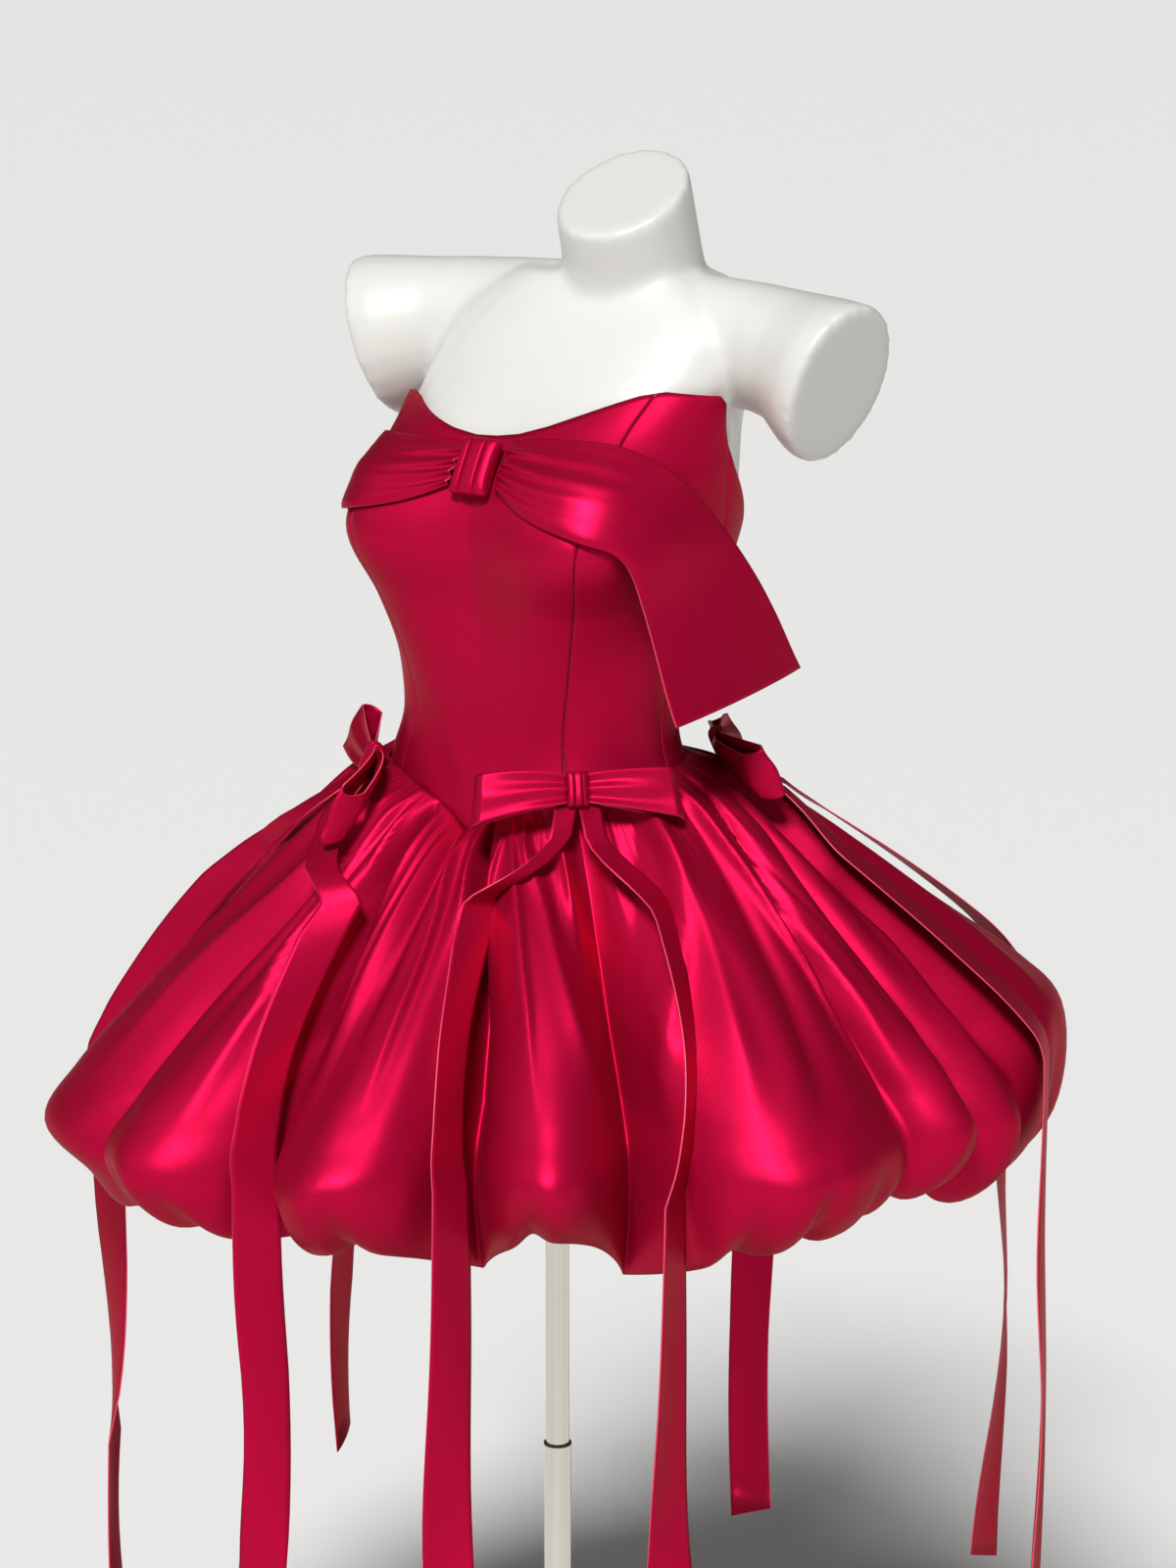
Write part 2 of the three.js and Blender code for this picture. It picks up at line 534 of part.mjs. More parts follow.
// Whether a point stands clear of the skirt and of the bodice above it.
function standsClear(p, margin) {
  const angle = Math.atan2(p.x, -p.y) / rad;
  const bodiceX = p.x - lookUp(figure, 'z', 'x', p.z);
  const bodiceY = p.y - lookUp(figure, 'z', 'y', p.z);
  const bodiceAngle = Math.atan2(bodiceX, -bodiceY) / rad;
  const bodiceRadius = figureRadius(bodiceAngle, p.z) + bodiceClear + cloth;
  const skirtClear = hypot(p.x, p.y) > surfaceRadius(angle, p.z) + margin;
  return skirtClear && hypot(bodiceX, bodiceY) > bodiceRadius + margin;
}

// The nearest that a waist bow can sit to the waist's axis.
function seatedFrame(bow) {
  for (let radius = 90; ; radius += 0.2) {
    const frame = bowFrame(bow, radius);
    const points = [...loopSheet(bow, frame, 1, 3).flat(), ...loopSheet(bow, frame, -1, 3).flat()];
    for (const across of [-knotSize.wide / 2, knotSize.wide / 2]) {
      for (const rise of [-knotSize.high / 2, 0, knotSize.high / 2]) {
        const back = frame.centre.clone().addScaledVector(frame.out, -knotSize.deep * 0.45);
        points.push(back.addScaledVector(frame.along, across).addScaledVector(frame.up, rise));
      }
      const below = frame.centre.clone().addScaledVector(frame.up, -knotSize.high / 2 - touchGap);
      points.push(below.addScaledVector(frame.along, across * 2));
    }
    if (points.every((p) => standsClear(p, bow.gap))) return frame;
  }
}

const streamerSteps = 20;
const overSkirt = 0.65;       // share of a streamer's rows that lie over the skirt
const streamerStart = { half: 8, apart: 8.6 };
// A streamer leaves the knot's underside, lies over the skirt, and hangs from where the skirt is widest.
function streamer(bow, frame, which) {
  const { top, hangs, edge, face, end } = bow.streamers[which];
  const side = which ? 1 : -1;
  const start = frame.centre.clone().addScaledVector(frame.up, -knotSize.high / 2 - touchGap);
  start.addScaledVector(frame.along, side * streamerStart.apart);
  const firstHeight = start.z - 12;
  const tipHeight = lowEdge(hangs) - lobeColumn('tip', hangs) - 10;
  const rows = [];
  let radius = 0;
  for (let i = 1; i <= streamerSteps; i++) {
    const down = i / streamerSteps;
    const over = min(down / overSkirt, 1);
    const hang = max(0, (down - overSkirt) / (1 - overSkirt));
    const left = min(1, over * 5);
    const leave = left * left * (3 - 2 * left);
    const angle = (bow.angle + side * 4) * (1 - leave) + (top + turn(top, hangs) * over) * leave;
    const level = firstHeight + (tipHeight - firstHeight) * over ** 0.9;
    const z = level * (1 - hang) + end * hang;
    const half = min(streamerWidth / 2, streamerStart.half + 40 * over);
    const twist = (edge * sin(Math.PI * min(1, down * 1.15)) ** 0.4 + face * hang) * rad;
    const spread = (half * cos(twist)) / max(radius, 120) / rad;
    const rests = hang ? 0 : max(...[-9, 0, 9].map((dz) => skirtRadius(angle, spread, z + dz)));
    radius = max(radius, rests + touchGap + 1 + ribbon + half * sin(twist));
    rows.push({ angle, z, half, radius, hang, twist });
  }
  const place = (u, v) => {
    const i = Math.round(u * streamerSteps);
    const across = 2 * v - 1;
    if (i === 0) return start.clone().addScaledVector(frame.along, streamerStart.half * across);
    const { angle, z, half, radius: r, hang, twist } = rows[i - 1];
    const slide = half * across * cos(twist) + 7 * sin(hang * 5 + bow.angle) * hang;
    const out = r - half * across * sin(twist);
    const cut = i === streamerSteps ? half * across * 0.35 : 0;
    const x = out * sin(angle * rad) + slide * cos(angle * rad);
    const y = -out * cos(angle * rad) + slide * sin(angle * rad);
    return new THREE.Vector3(x, y, z - cut);
  };
  const sheet = grid(1, streamerSteps, (u, v) => place(1 - v, u));
  return wall(sheet, offset(sheet, -ribbon));
}

// Dress form

// A solid of closed rings stacked one on another, capped flat at both ends.
function stack(rings) {
  const count = rings[0].length;
  const positions = rings.flat().flatMap((p) => [p.x, p.y, p.z]);
  const index = [];
  for (let i = 0; i < rings.length - 1; i++) {
    for (let j = 0; j < count; j++) {
      const a = i * count + j;
      const b = i * count + ((j + 1) % count);
      index.push(a, b, b + count, a, b + count, a + count);
    }
  }
  const cap = (ring, turned) => {
    const first = ring * count;
    for (let j = 1; j < count - 1; j++) {
      index.push(first, first + (turned ? j + 1 : j), first + (turned ? j : j + 1));
    }
  };
  cap(0, true);
  cap(rings.length - 1, false);
  const geometry = new THREE.BufferGeometry();
  geometry.setAttribute('position', new THREE.Float32BufferAttribute(positions, 3));
  geometry.setIndex(index);
  return geometry;
}

const torsoCols = 32;
const torsoLevels = [880, 892, 920, 960, 1000, 1040, 1070, gripHeight, 1100, 1130, 1160, 1190, 1215, 1240, 1265,
  1290, 1315, 1340, 1365, 1385, 1400, 1412, 1424];

function torso() {
  const ring = (z, i) => Array.from({ length: torsoCols }, (_, j) => {
    const angle = (360 * j) / torsoCols;
    const inset = z === gripHeight ? gripInset : formInset;
    const rounding = i === 0 ? 12 : 0;
    return figurePoint(angle, z, figureRadius(angle, z) - inset - rounding);
  });
  return stack(torsoLevels.map(ring));
}

// An elliptical ring across an axis: deep is its half depth along Y and tall its half height.
function ringAcross(centre, axis, deep, tall, count) {
  const side = new THREE.Vector3(0, 1, 0).addScaledVector(axis, -axis.y).normalize();
  const up = new THREE.Vector3().crossVectors(axis, side).normalize();
  return Array.from({ length: count }, (_, j) => {
    const t = (2 * Math.PI * j) / count;
    return centre.clone().addScaledVector(side, deep * cos(t)).addScaledVector(up, tall * sin(t));
  });
}

const shoulderCentre = 22;
// A shoulder from the chest out to the flat face where an arm would start.
const shoulderRings = [
  { out: 45, y: 54, z: 1374, deep: 44, tall: 54 },
  { out: 90, y: 55, z: 1376, deep: 43, tall: 50 },
  { out: 125, y: 56, z: 1375, deep: 42, tall: 49 },
  { out: 160, y: 51, z: 1370, deep: 47, tall: 52 },
  { out: 196, y: 36, z: 1360, deep: 54, tall: 63 },
  { out: 215, y: 31, z: 1356, deep: 53, tall: 66 },
];
function shoulder(side) {
  const rings = shoulderRings.map((row, i) => {
    const lean = i / (shoulderRings.length - 1);
    const axis = new THREE.Vector3(side * 0.93, -0.19 * lean, -0.31 * lean).normalize();
    const centre = new THREE.Vector3(shoulderCentre + side * row.out, row.y, row.z);
    return ringAcross(centre, axis, row.deep, row.tall, 22);
  });
  return stack(rings);
}

const neckTilt = 32;          // of the neck's flat top, down to the front
function neck() {
  const rows = [
    { x: 30, y: 58, z: 1392, wide: 66, deep: 58, tilt: 0 },
    { x: 34, y: 55, z: 1418, wide: 59, deep: 55, tilt: 5 },
    { x: 38, y: 48, z: 1440, wide: 54, deep: 52, tilt: 15 },
    { x: 41, y: 30, z: 1488, wide: 53, deep: 47, tilt: neckTilt },
  ];
  const ring = ({ x, y, z, wide, deep, tilt }) => Array.from({ length: 28 }, (_, j) => {
    const t = (2 * Math.PI * j) / 28;
    const back = deep * sin(t);
    return new THREE.Vector3(x + wide * cos(t), y + back, z + back * Math.tan(tilt * rad));
  });
  return stack(rows.map(ring));
}

// A closed geometry as a solid that can be joined to others, and the solid back as a geometry.
function solidOf(geometry) {
  const merged = mergeVertices(geometry, 1e-4);
  return new wasm.Manifold(new wasm.Mesh({
    numProp: 3,
    vertProperties: new Float32Array(merged.attributes.position.array),
    triVerts: new Uint32Array(merged.index.array),
  }));
}

function geometryOf(solid) {
  const mesh = solid.getMesh();
  const geometry = new THREE.BufferGeometry();
  geometry.setAttribute('position', new THREE.Float32BufferAttribute(mesh.vertProperties, 3));
  geometry.setIndex(new THREE.BufferAttribute(mesh.triVerts, 1));
  return geometry;
}

function dressForm() {
  const parts = [torso(), neck(), shoulder(1), shoulder(-1)].map(solidOf);
  return geometryOf(parts.reduce((whole, part) => whole.add(part)));
}

// Stand

function tube(radius, from, to) {
  const geometry = new THREE.CylinderGeometry(radius, radius, to - from, 24);
  geometry.rotateX(Math.PI / 2);
  geometry.translate(0, 0, (from + to) / 2);
  return geometry;
}

function standBase() {
  const edge = 3;
  const profile = [
    [0, 0], [base.radius - edge, 0], [base.radius, edge], [base.radius - edge, base.thick],
    [base.bossRadius + edge, base.thick], [base.bossRadius, base.thick + edge],
    [base.bossRadius - edge, base.bossTop], [0, base.bossTop],
  ];
  const geometry = new THREE.LatheGeometry(profile.map(([r, z]) => new THREE.Vector2(r, z)), 40);
  geometry.rotateX(Math.PI / 2);
  return geometry;
}

// Materials and assembly

const satin = new THREE.MeshStandardMaterial({ color: 0xb0082c, roughness: 0.42, metalness: 0 });
const shell = new THREE.MeshStandardMaterial({ color: 0xf1efe6, roughness: 0.5, metalness: 0 });
const steel = new THREE.MeshStandardMaterial({ color: 0xc9c5b8, roughness: 0.25, metalness: 1 });

const dress = new THREE.Group();
function add(name, geometry, material) {
  const clean = geometry.clone();
  clean.deleteAttribute('normal');
  clean.deleteAttribute('uv');
  const welded = mergeVertices(clean, 1e-4);
  welded.computeVertexNormals();
  const mesh = new THREE.Mesh(welded, material);
  mesh.name = name;
  dress.add(mesh);
}

for (const { name, from, to, cols } of panels) add(name, panel(from, to, cols), satin);
for (const part of skirtPanels) {
  add(part.name, wall(skirtStretch(skirtOuter, part), skirtStretch(skirtInner, part)), satin);
}
add('bust_bow_wing_left', wingSolid(1), satin);
add('bust_bow_wing_right', wingSolid(-1), satin);
const bustKnotOff = figureRadius(0, bustKnot.z) + bodiceClear + cloth + bustKnot.off;
add('bust_bow_knot', knot(0, bustKnot.lean, figurePoint(0, bustKnot.z, bustKnotOff), bustKnot), satin);
for (const bow of bows) {
  const frame = seatedFrame(bow);
  add(`bow_${bow.name}_knot`, knot(bow.angle, bowLean, frame.centre, knotSize), satin);
  add(`bow_${bow.name}_loop_a`, bowLoop(bow, frame, 1), satin);
  add(`bow_${bow.name}_loop_b`, bowLoop(bow, frame, -1), satin);
  add(`bow_${bow.name}_streamer_a`, streamer(bow, frame, 0), satin);
  add(`bow_${bow.name}_streamer_b`, streamer(bow, frame, 1), satin);
}
add('dress_form', dressForm(), shell);
add('pole_upper', tube(poleRadius.upper, poleJoint + seamGap, torsoLevels[0] - seamGap), steel);
add('pole_lower', tube(poleRadius.lower, base.bossTop + seamGap, poleJoint), steel);
add('stand_base', standBase(), steel);

export default dress;
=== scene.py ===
import math
import random
import bmesh
import bpy
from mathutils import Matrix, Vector, noise


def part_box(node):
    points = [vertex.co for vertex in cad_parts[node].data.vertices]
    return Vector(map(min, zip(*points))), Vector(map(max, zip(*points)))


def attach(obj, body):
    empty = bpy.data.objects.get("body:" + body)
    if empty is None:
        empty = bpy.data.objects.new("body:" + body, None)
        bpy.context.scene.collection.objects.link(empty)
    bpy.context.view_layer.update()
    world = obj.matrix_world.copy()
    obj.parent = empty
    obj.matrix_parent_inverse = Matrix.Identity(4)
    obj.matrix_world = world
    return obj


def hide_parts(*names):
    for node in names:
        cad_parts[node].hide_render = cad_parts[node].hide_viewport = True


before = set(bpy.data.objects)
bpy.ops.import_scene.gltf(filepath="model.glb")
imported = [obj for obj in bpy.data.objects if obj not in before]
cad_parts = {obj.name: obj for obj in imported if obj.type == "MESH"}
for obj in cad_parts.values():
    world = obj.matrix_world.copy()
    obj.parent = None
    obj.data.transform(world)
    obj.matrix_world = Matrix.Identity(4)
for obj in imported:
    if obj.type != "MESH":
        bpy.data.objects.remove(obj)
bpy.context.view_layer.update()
random.seed(11)
mm = 0.001

# The general figure by height in mm: its centre, half width, depths in front and behind, and bust
figure = [
    dict(z=880, x=-3, y=-8, side=138, front=84, back=100, cup=0),
    dict(z=940, x=-3, y=-10, side=156, front=98, back=114, cup=0),
    dict(z=1000, x=-5, y=-15, side=138, front=97, back=102, cup=0),
    dict(z=1050, x=-5, y=-18, side=116, front=88, back=90, cup=0),
    dict(z=1085, x=-3, y=-19, side=108, front=80, back=85, cup=0),
    dict(z=1130, x=0, y=-15, side=114, front=86, back=92, cup=7),
    dict(z=1180, x=1, y=-5, side=128, front=100, back=99, cup=21),
    dict(z=1235, x=3, y=5, side=141, front=121, back=106, cup=36),
    dict(z=1280, x=3, y=12, side=141, front=116, back=108, cup=22),
    dict(z=1315, x=4, y=20, side=138, front=98, back=104, cup=7),
    dict(z=1350, x=9, y=34, side=140, front=80, back=92, cup=0),
    dict(z=1385, x=17, y=47, side=142, front=66, back=76, cup=0),
    dict(z=1410, x=22, y=55, side=116, front=56, back=62, cup=0),
    dict(z=1428, x=24, y=57, side=76, front=52, back=55, cup=0),
]
fit = dict(squareness=2.25, cupAngle=37, cupSpread=22, clear=1.5, cloth=2)


def lookUp(table, key, column, at):  # smooth between the rows of a table
    last = len(table) - 1
    if at <= table[0][key]:
        return table[0][column]
    if at >= table[last][key]:
        return table[last][column]
    i = next(n for n, row in enumerate(table) if row[key] > at) - 1

    def slope(a, b):
        return (table[b][column] - table[a][column]) / (table[b][key] - table[a][key])

    span = table[i + 1][key] - table[i][key]
    t = (at - table[i][key]) / span
    m0 = slope(max(i - 1, 0), i + 1) * span
    m1 = slope(i, min(i + 2, last)) * span
    a, b = table[i][column], table[i + 1][column]
    return a + t * m0 + t * t * (3 * (b - a) - 2 * m0 - m1) + t ** 3 * (2 * (a - b) + m0 + m1)


def lookUpStraight(table, key, column, at):  # straight between the rows
    last = len(table) - 1
    if at <= table[0][key]:
        return table[0][column]
    if at >= table[last][key]:
        return table[last][column]
    i = next(n for n, row in enumerate(table) if row[key] > at) - 1
    t = (at - table[i][key]) / (table[i + 1][key] - table[i][key])
    return table[i][column] + t * (table[i + 1][column] - table[i][column])


def turn(start, end):  # smallest turn in degrees
    return (end - start + 540) % 360 - 180


figureRows = {}


def figureRow(z):  # the figure's sizes at a height, kept once worked out
    z = round(z, 1)
    if z not in figureRows:
        names = ("x", "y", "side", "front", "back", "cup")
        figureRows[z] = {name: lookUp(figure, "z", name, z) for name in names}
    return figureRows[z]


def figureRadius(angle, z):
    row = figureRow(z)
    a = math.radians(angle)
    s = abs(math.sin(a)) / row["side"]
    d = abs(math.cos(a)) / row["front" if math.cos(a) > 0 else "back"]
    oval = (s ** fit["squareness"] + d ** fit["squareness"]) ** (-1 / fit["squareness"])
    off = (abs(turn(0, angle)) - fit["cupAngle"]) / fit["cupSpread"]
    return oval + row["cup"] * math.exp(-off * off)


def bodicePoint(angle, z, off):  # off is out from the inside of the bodice
    row = figureRow(z)
    r = figureRadius(angle, z) + fit["clear"] + off
    a = math.radians(angle)
    return Vector((row["x"] + r * math.sin(a), row["y"] - r * math.cos(a), z))


def finishMesh(name, bm, material, replaced=(), smooth=True):
    mesh = bpy.data.meshes.new(name)
    bm.to_mesh(mesh)
    bm.free()
    mesh.materials.append(material)
    for face in mesh.polygons:
        face.use_smooth = smooth
    piece = bpy.data.objects.new(name, mesh)
    bpy.context.scene.collection.objects.link(piece)
    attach(piece, "root")
    if replaced:
        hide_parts(*replaced)
    return piece


weld = 0.02  # mm between points that are joined where a ring of cloth closes


def clothGrid(cols, rows, place, ring=False):  # a grid of cloth laid out by place(across, up), in mm
    bm = bmesh.new()
    uv = bm.loops.layers.uv.new("weave")
    bmesh.ops.create_grid(bm, x_segments=cols, y_segments=rows, size=1)
    shares = {}
    for v in bm.verts:
        shares[v.index] = ((v.co.x + 1) / 2, (v.co.y + 1) / 2)
    bm.verts.ensure_lookup_table()
    for face in bm.faces:
        for loop in face.loops:
            loop[uv].uv = shares[loop.vert.index]
    for v in bm.verts:
        v.co = place(*shares[v.index]) * mm
    if ring:
        bmesh.ops.remove_doubles(bm, verts=bm.verts, dist=weld * mm)
    bmesh.ops.recalc_face_normals(bm, faces=bm.faces)
    return bm


def thicken(piece, thickness, rim=None):  # rim is the material of the cut edges, a paler colour painted on as a highlight
    wall = piece.modifiers.new("wall", "SOLIDIFY")
    wall.thickness = thickness * mm
    wall.offset = -1.0
    wall.use_even_offset = False
    if rim:
        piece.data.materials.append(rim)
        wall.material_offset_rim = 1


# Materials

satinLook = dict(
    metallic=0.5,  # gives highlights the cloth's own colour
    gloss=0.25, glossTint=(1.0, 0.05, 0.16, 1),
    sheen=0.08, sheenRoughness=0.4, sheenTint=(1.0, 0.02, 0.12, 1),
    grainScale=900, grainDetail=3, grainTone=0.1, grainDepth=0.0004, grainStrength=0.12,
    # the last value sets how soon the painted shade darkens the cloth towards glancing angles
    slubScale=14, slubDetail=2, slubLow=-0.05, slubHigh=0.06, glancingShadeBlend=0.35,
)


def noiseTexture(nodes, links, scale, detail):  # laid out in the cloth's own space
    where = nodes.new("ShaderNodeTexCoord")
    texture = nodes.new("ShaderNodeTexNoise")
    texture.inputs["Scale"].default_value = scale
    texture.inputs["Detail"].default_value = detail
    links.new(where.outputs["Object"], texture.inputs["Vector"])
    return texture


def mapRange(nodes, links, source, low, high):
    ranged = nodes.new("ShaderNodeMapRange")
    ranged.inputs["To Min"].default_value = low
    ranged.inputs["To Max"].default_value = high
    links.new(source.outputs["Fac"], ranged.inputs["Value"])
    return ranged


def satin(name, deep, lit, roughness, weave=1.0):  # deep is its colour at a glancing angle, a painted shade; lit is its colour face on
    look = satinLook
    material = bpy.data.materials.new(name)
    material.use_nodes = True
    nodes, links = material.node_tree.nodes, material.node_tree.links
    shader = nodes["Principled BSDF"]
    shader.inputs["Metallic"].default_value = look["metallic"]
    shader.inputs["Specular IOR Level"].default_value = look["gloss"]
    shader.inputs["Specular Tint"].default_value = look["glossTint"]
    shader.inputs["Sheen Weight"].default_value = look["sheen"]
    shader.inputs["Sheen Roughness"].default_value = look["sheenRoughness"]
    shader.inputs["Sheen Tint"].default_value = look["sheenTint"]
    grain = noiseTexture(nodes, links, look["grainScale"], look["grainDetail"])  # the weave's speckle
    slub = noiseTexture(nodes, links, look["slubScale"], look["slubDetail"])  # slow shifts of gloss
    # painted shade: the colour runs from lit face on to the darker deep colour at glancing angles
    facing = nodes.new("ShaderNodeLayerWeight")
    facing.inputs["Blend"].default_value = look["glancingShadeBlend"]
    glancingShadeMix = nodes.new("ShaderNodeMix")
    glancingShadeMix.data_type = "RGBA"
    glancingShadeMix.inputs["A"].default_value = (*lit, 1)
    glancingShadeMix.inputs["B"].default_value = (*deep, 1)
    links.new(facing.outputs["Facing"], glancingShadeMix.inputs["Factor"])
    tone = look["grainTone"] * weave
    speckle = mapRange(nodes, links, grain, 1 - tone, 1 + tone)
    speckle.inputs["From Min"].default_value = 0.3
    speckle.inputs["From Max"].default_value = 0.7
    shadeAndGrain = nodes.new("ShaderNodeVectorMath")
    shadeAndGrain.operation = "SCALE"
    links.new(glancingShadeMix.outputs["Result"], shadeAndGrain.inputs[0])
    links.new(speckle.outputs["Result"], shadeAndGrain.inputs["Scale"])
    links.new(shadeAndGrain.outputs["Vector"], shader.inputs["Base Color"])
    rough = mapRange(nodes, links, slub, roughness + look["slubLow"], roughness + look["slubHigh"])
    links.new(rough.outputs["Result"], shader.inputs["Roughness"])
    bump = nodes.new("ShaderNodeBump")
    bump.inputs["Strength"].default_value = look["grainStrength"] * weave
    bump.inputs["Distance"].default_value = look["grainDepth"]
    links.new(grain.outputs["Fac"], bump.inputs["Height"])
    links.new(bump.outputs["Normal"], shader.inputs["Normal"])
    return material


smearLook = dict(scale=60, detail=4, spread=0.15)  # faint wear that makes a plain finish less even


def plainFinish(name, colour, roughness, metallic=0.0, coat=0.0):
    material = bpy.data.materials.new(name)
    material.use_nodes = True
    nodes, links = material.node_tree.nodes, material.node_tree.links
    shader = nodes["Principled BSDF"]
    shader.inputs["Base Color"].default_value = (*colour, 1)
    shader.inputs["Metallic"].default_value = metallic
    shader.inputs["Coat Weight"].default_value = coat
    smear = noiseTexture(nodes, links, smearLook["scale"], smearLook["detail"])
    low, high = 1 - smearLook["spread"], 1 + smearLook["spread"]
    rough = mapRange(nodes, links, smear, roughness * low, roughness * high)
    links.new(rough.outputs["Result"], shader.inputs["Roughness"])
    return material


# painted shade: each satin is darker at glancing angles (first colour) than face on (second colour)
satinCloth = satin("satinCloth", (0.22, 0.0, 0.012), (0.47, 0.004, 0.042), 0.45)
satinRibbon = satin("satinRibbon", (0.22, 0.0, 0.012), (0.47, 0.004, 0.042), 0.42, 0.7)
# painted highlight: a paler red on the ribbons' cut edges stands for light caught along them
ribbonEdgeHighlight = plainFinish("ribbonEdgeHighlight", (0.72, 0.06, 0.12), 0.4)
formWhite = plainFinish("formWhite", (0.64, 0.635, 0.60), 0.42, coat=0.1)
steel = plainFinish("steel", (0.72, 0.69, 0.62), 0.2, metallic=1.0)
jointDark = plainFinish("jointDark", (0.05, 0.045, 0.04), 0.4, metallic=0.6)

# Bodice

bodice = dict(
    seamGap=0.4, rows=80, tilt=10, sideSeam=92, backSeam=138, overlap=4, underRows=40, tuckIn=0.9, wall=1.5,
    height=300, mmPerDegree=2.3,
)
seamDip = dict(sharp=0.5, sharpWidth=2.2, soft=0.35, softWidth=9)  # how the cloth sinks in at a seam, in mm
rimDip = dict(depth=0.6, width=5)  # and at its upper edge
neckline = [
    dict(angle=0, z=1312), dict(angle=10, z=1313), dict(angle=22, z=1318), dict(angle=39, z=1328),
    dict(angle=54, z=1337), dict(angle=62, z=1339), dict(angle=80, z=1333), dict(angle=84, z=1326),
    dict(angle=96, z=1275), dict(angle=116, z=1219), dict(angle=140, z=1204), dict(angle=180, z=1199),
]
waistline = [
    dict(angle=0, z=1009), dict(angle=9, z=1021), dict(angle=25, z=1034), dict(angle=46, z=1043),
    dict(angle=90, z=1053), dict(angle=130, z=1052), dict(angle=180, z=1046),
]
princessSeam = [
    dict(up=0, angle=46), dict(up=0.25, angle=44), dict(up=0.5, angle=40), dict(up=0.7, angle=37.5),
    dict(up=0.85, angle=46), dict(up=1, angle=59),
]


def bell(off):
    return math.exp(-off * off)


def tilt(angle):
    return bodice["tilt"] * math.sin(math.radians(angle))


def topEdge(angle):
    return lookUpStraight(neckline, "angle", "z", abs(turn(0, angle))) + tilt(angle)


def lowEdge(angle):
    return lookUpStraight(waistline, "angle", "z", abs(turn(0, angle)))


def princess(up):
    return lookUp(princessSeam, "up", "angle", up)


def pullWrinkles(angle, up):  # soft drag lines from the cups down to the waist and round it
    diagonal = math.sin((angle * 0.11 + up * 13) + 1.7 * math.sin(up * 5 + angle * 0.03))
    nearWaist = bell((up - 0.14) / 0.12)
    return 0.5 * diagonal * nearWaist + 0.25 * noise.noise(Vector((angle * 0.045, up * 5, 3)))


def level(angle, up):  # height at a share of the way up the bodice
    return lowEdge(angle) + (topEdge(angle) - lowEdge(angle)) * up


def makePanel(name, left, right, cols, flat, area):
    def place(u, v):
        a, b = left(v), right(v)
        a += math.degrees(bodice["seamGap"] / 2 / figureRadius(a, level(a, v)))
        b -= math.degrees(bodice["seamGap"] / 2 / figureRadius(b, level(b, v)))
        angle = a + (b - a) * u
        seam = min(u, 1 - u) * abs(b - a) * bodice["mmPerDegree"]  # mm from the nearest seam, about
        dip = seamDip["sharp"] * bell(seam / seamDip["sharpWidth"])
        dip += seamDip["soft"] * bell(seam / seamDip["softWidth"])
        rim = rimDip["depth"] * bell((1 - v) * bodice["height"] / rimDip["width"])
        under = max(0.0, 1 - v * bodice["underRows"])  # the lower edge runs on behind the skirt
        off = fit["cloth"] - dip + pullWrinkles(angle, v) - rim - bodice["tuckIn"] * under
        return bodicePoint(angle, level(angle, v) - bodice["overlap"] * under, off)

    bm = clothGrid(cols, bodice["rows"], place)
    piece = finishMesh(name + "_cloth", bm, satinCloth, [name])
    thicken(piece, bodice["wall"])


def sideSeam(up):
    return bodice["sideSeam"]


def backSeam(up):
    return bodice["backSeam"]


def centreBack(up):
    return 180


def mirrored(seam):  # the same seam on the wearer's right
    return lambda up: -seam(up)


panels = [
    dict(name="bodice_front", left=mirrored(princess), right=princess, cols=90,
         flat=(0.27, 0.36), area=0.072),
]
sidePanels = [  # from seam to seam on the wearer's left; the right side is its mirror image
    dict(name="bodice_side_front", near=princess, far=sideSeam, cols=56, flat=(0.16, 0.33), area=0.034),
    dict(name="bodice_side_back", near=sideSeam, far=backSeam, cols=44, flat=(0.13, 0.26), area=0.020),
    dict(name="bodice_back", near=backSeam, far=centreBack, cols=40, flat=(0.10, 0.17), area=0.0145),
]
for panel in sidePanels:
    same = dict(cols=panel["cols"], flat=panel["flat"], area=panel["area"])
    near, far = panel["near"], panel["far"]
    panels.append(dict(name=panel["name"] + "_left", left=near, right=far, **same))
    panels.append(dict(name=panel["name"] + "_right", left=mirrored(far), right=mirrored(near), **same))
for panel in panels:
    makePanel(**panel)
print("bodice sewn")

# Bust bow

wing = [
    dict(along=0, upAngle=9.6, upZ=1309, upOff=3.3, lowAngle=9.6, lowZ=1277, lowOff=4.4),
    dict(along=0.16, upAngle=27, upZ=1311, upOff=4.1, lowAngle=21, lowZ=1263, lowOff=4.4),
    dict(along=0.34, upAngle=50, upZ=1306, upOff=5.7, lowAngle=37, lowZ=1249, lowOff=5.4),
    dict(along=0.5, upAngle=68, upZ=1282, upOff=7, lowAngle=48, lowZ=1236, lowOff=11),
    dict(along=0.68, upAngle=86, upZ=1234, upOff=18, lowAngle=55.5, lowZ=1199, lowOff=32),
    dict(along=0.84, upAngle=98, upZ=1187, upOff=47, lowAngle=61.5, lowZ=1155, lowOff=56),
    dict(along=1, upAngle=108, upZ=1131, upOff=86, lowAngle=66, lowZ=1109, lowOff=82),
]
wingShape = dict(
    left=dict(length=1, turn=1, off=1), right=dict(length=0.72, turn=1.35, off=0.85), bulge=6, cloth=1.6,
    flatFrom=0.46, flatTo=0.74, curveLeft=0.2, clear=0.6, billow=2.2, cols=130, rows=72,
)
wingRoll = dict(low=1.2, high=1.0, width=0.05)  # the band's folded edges turn in by this much
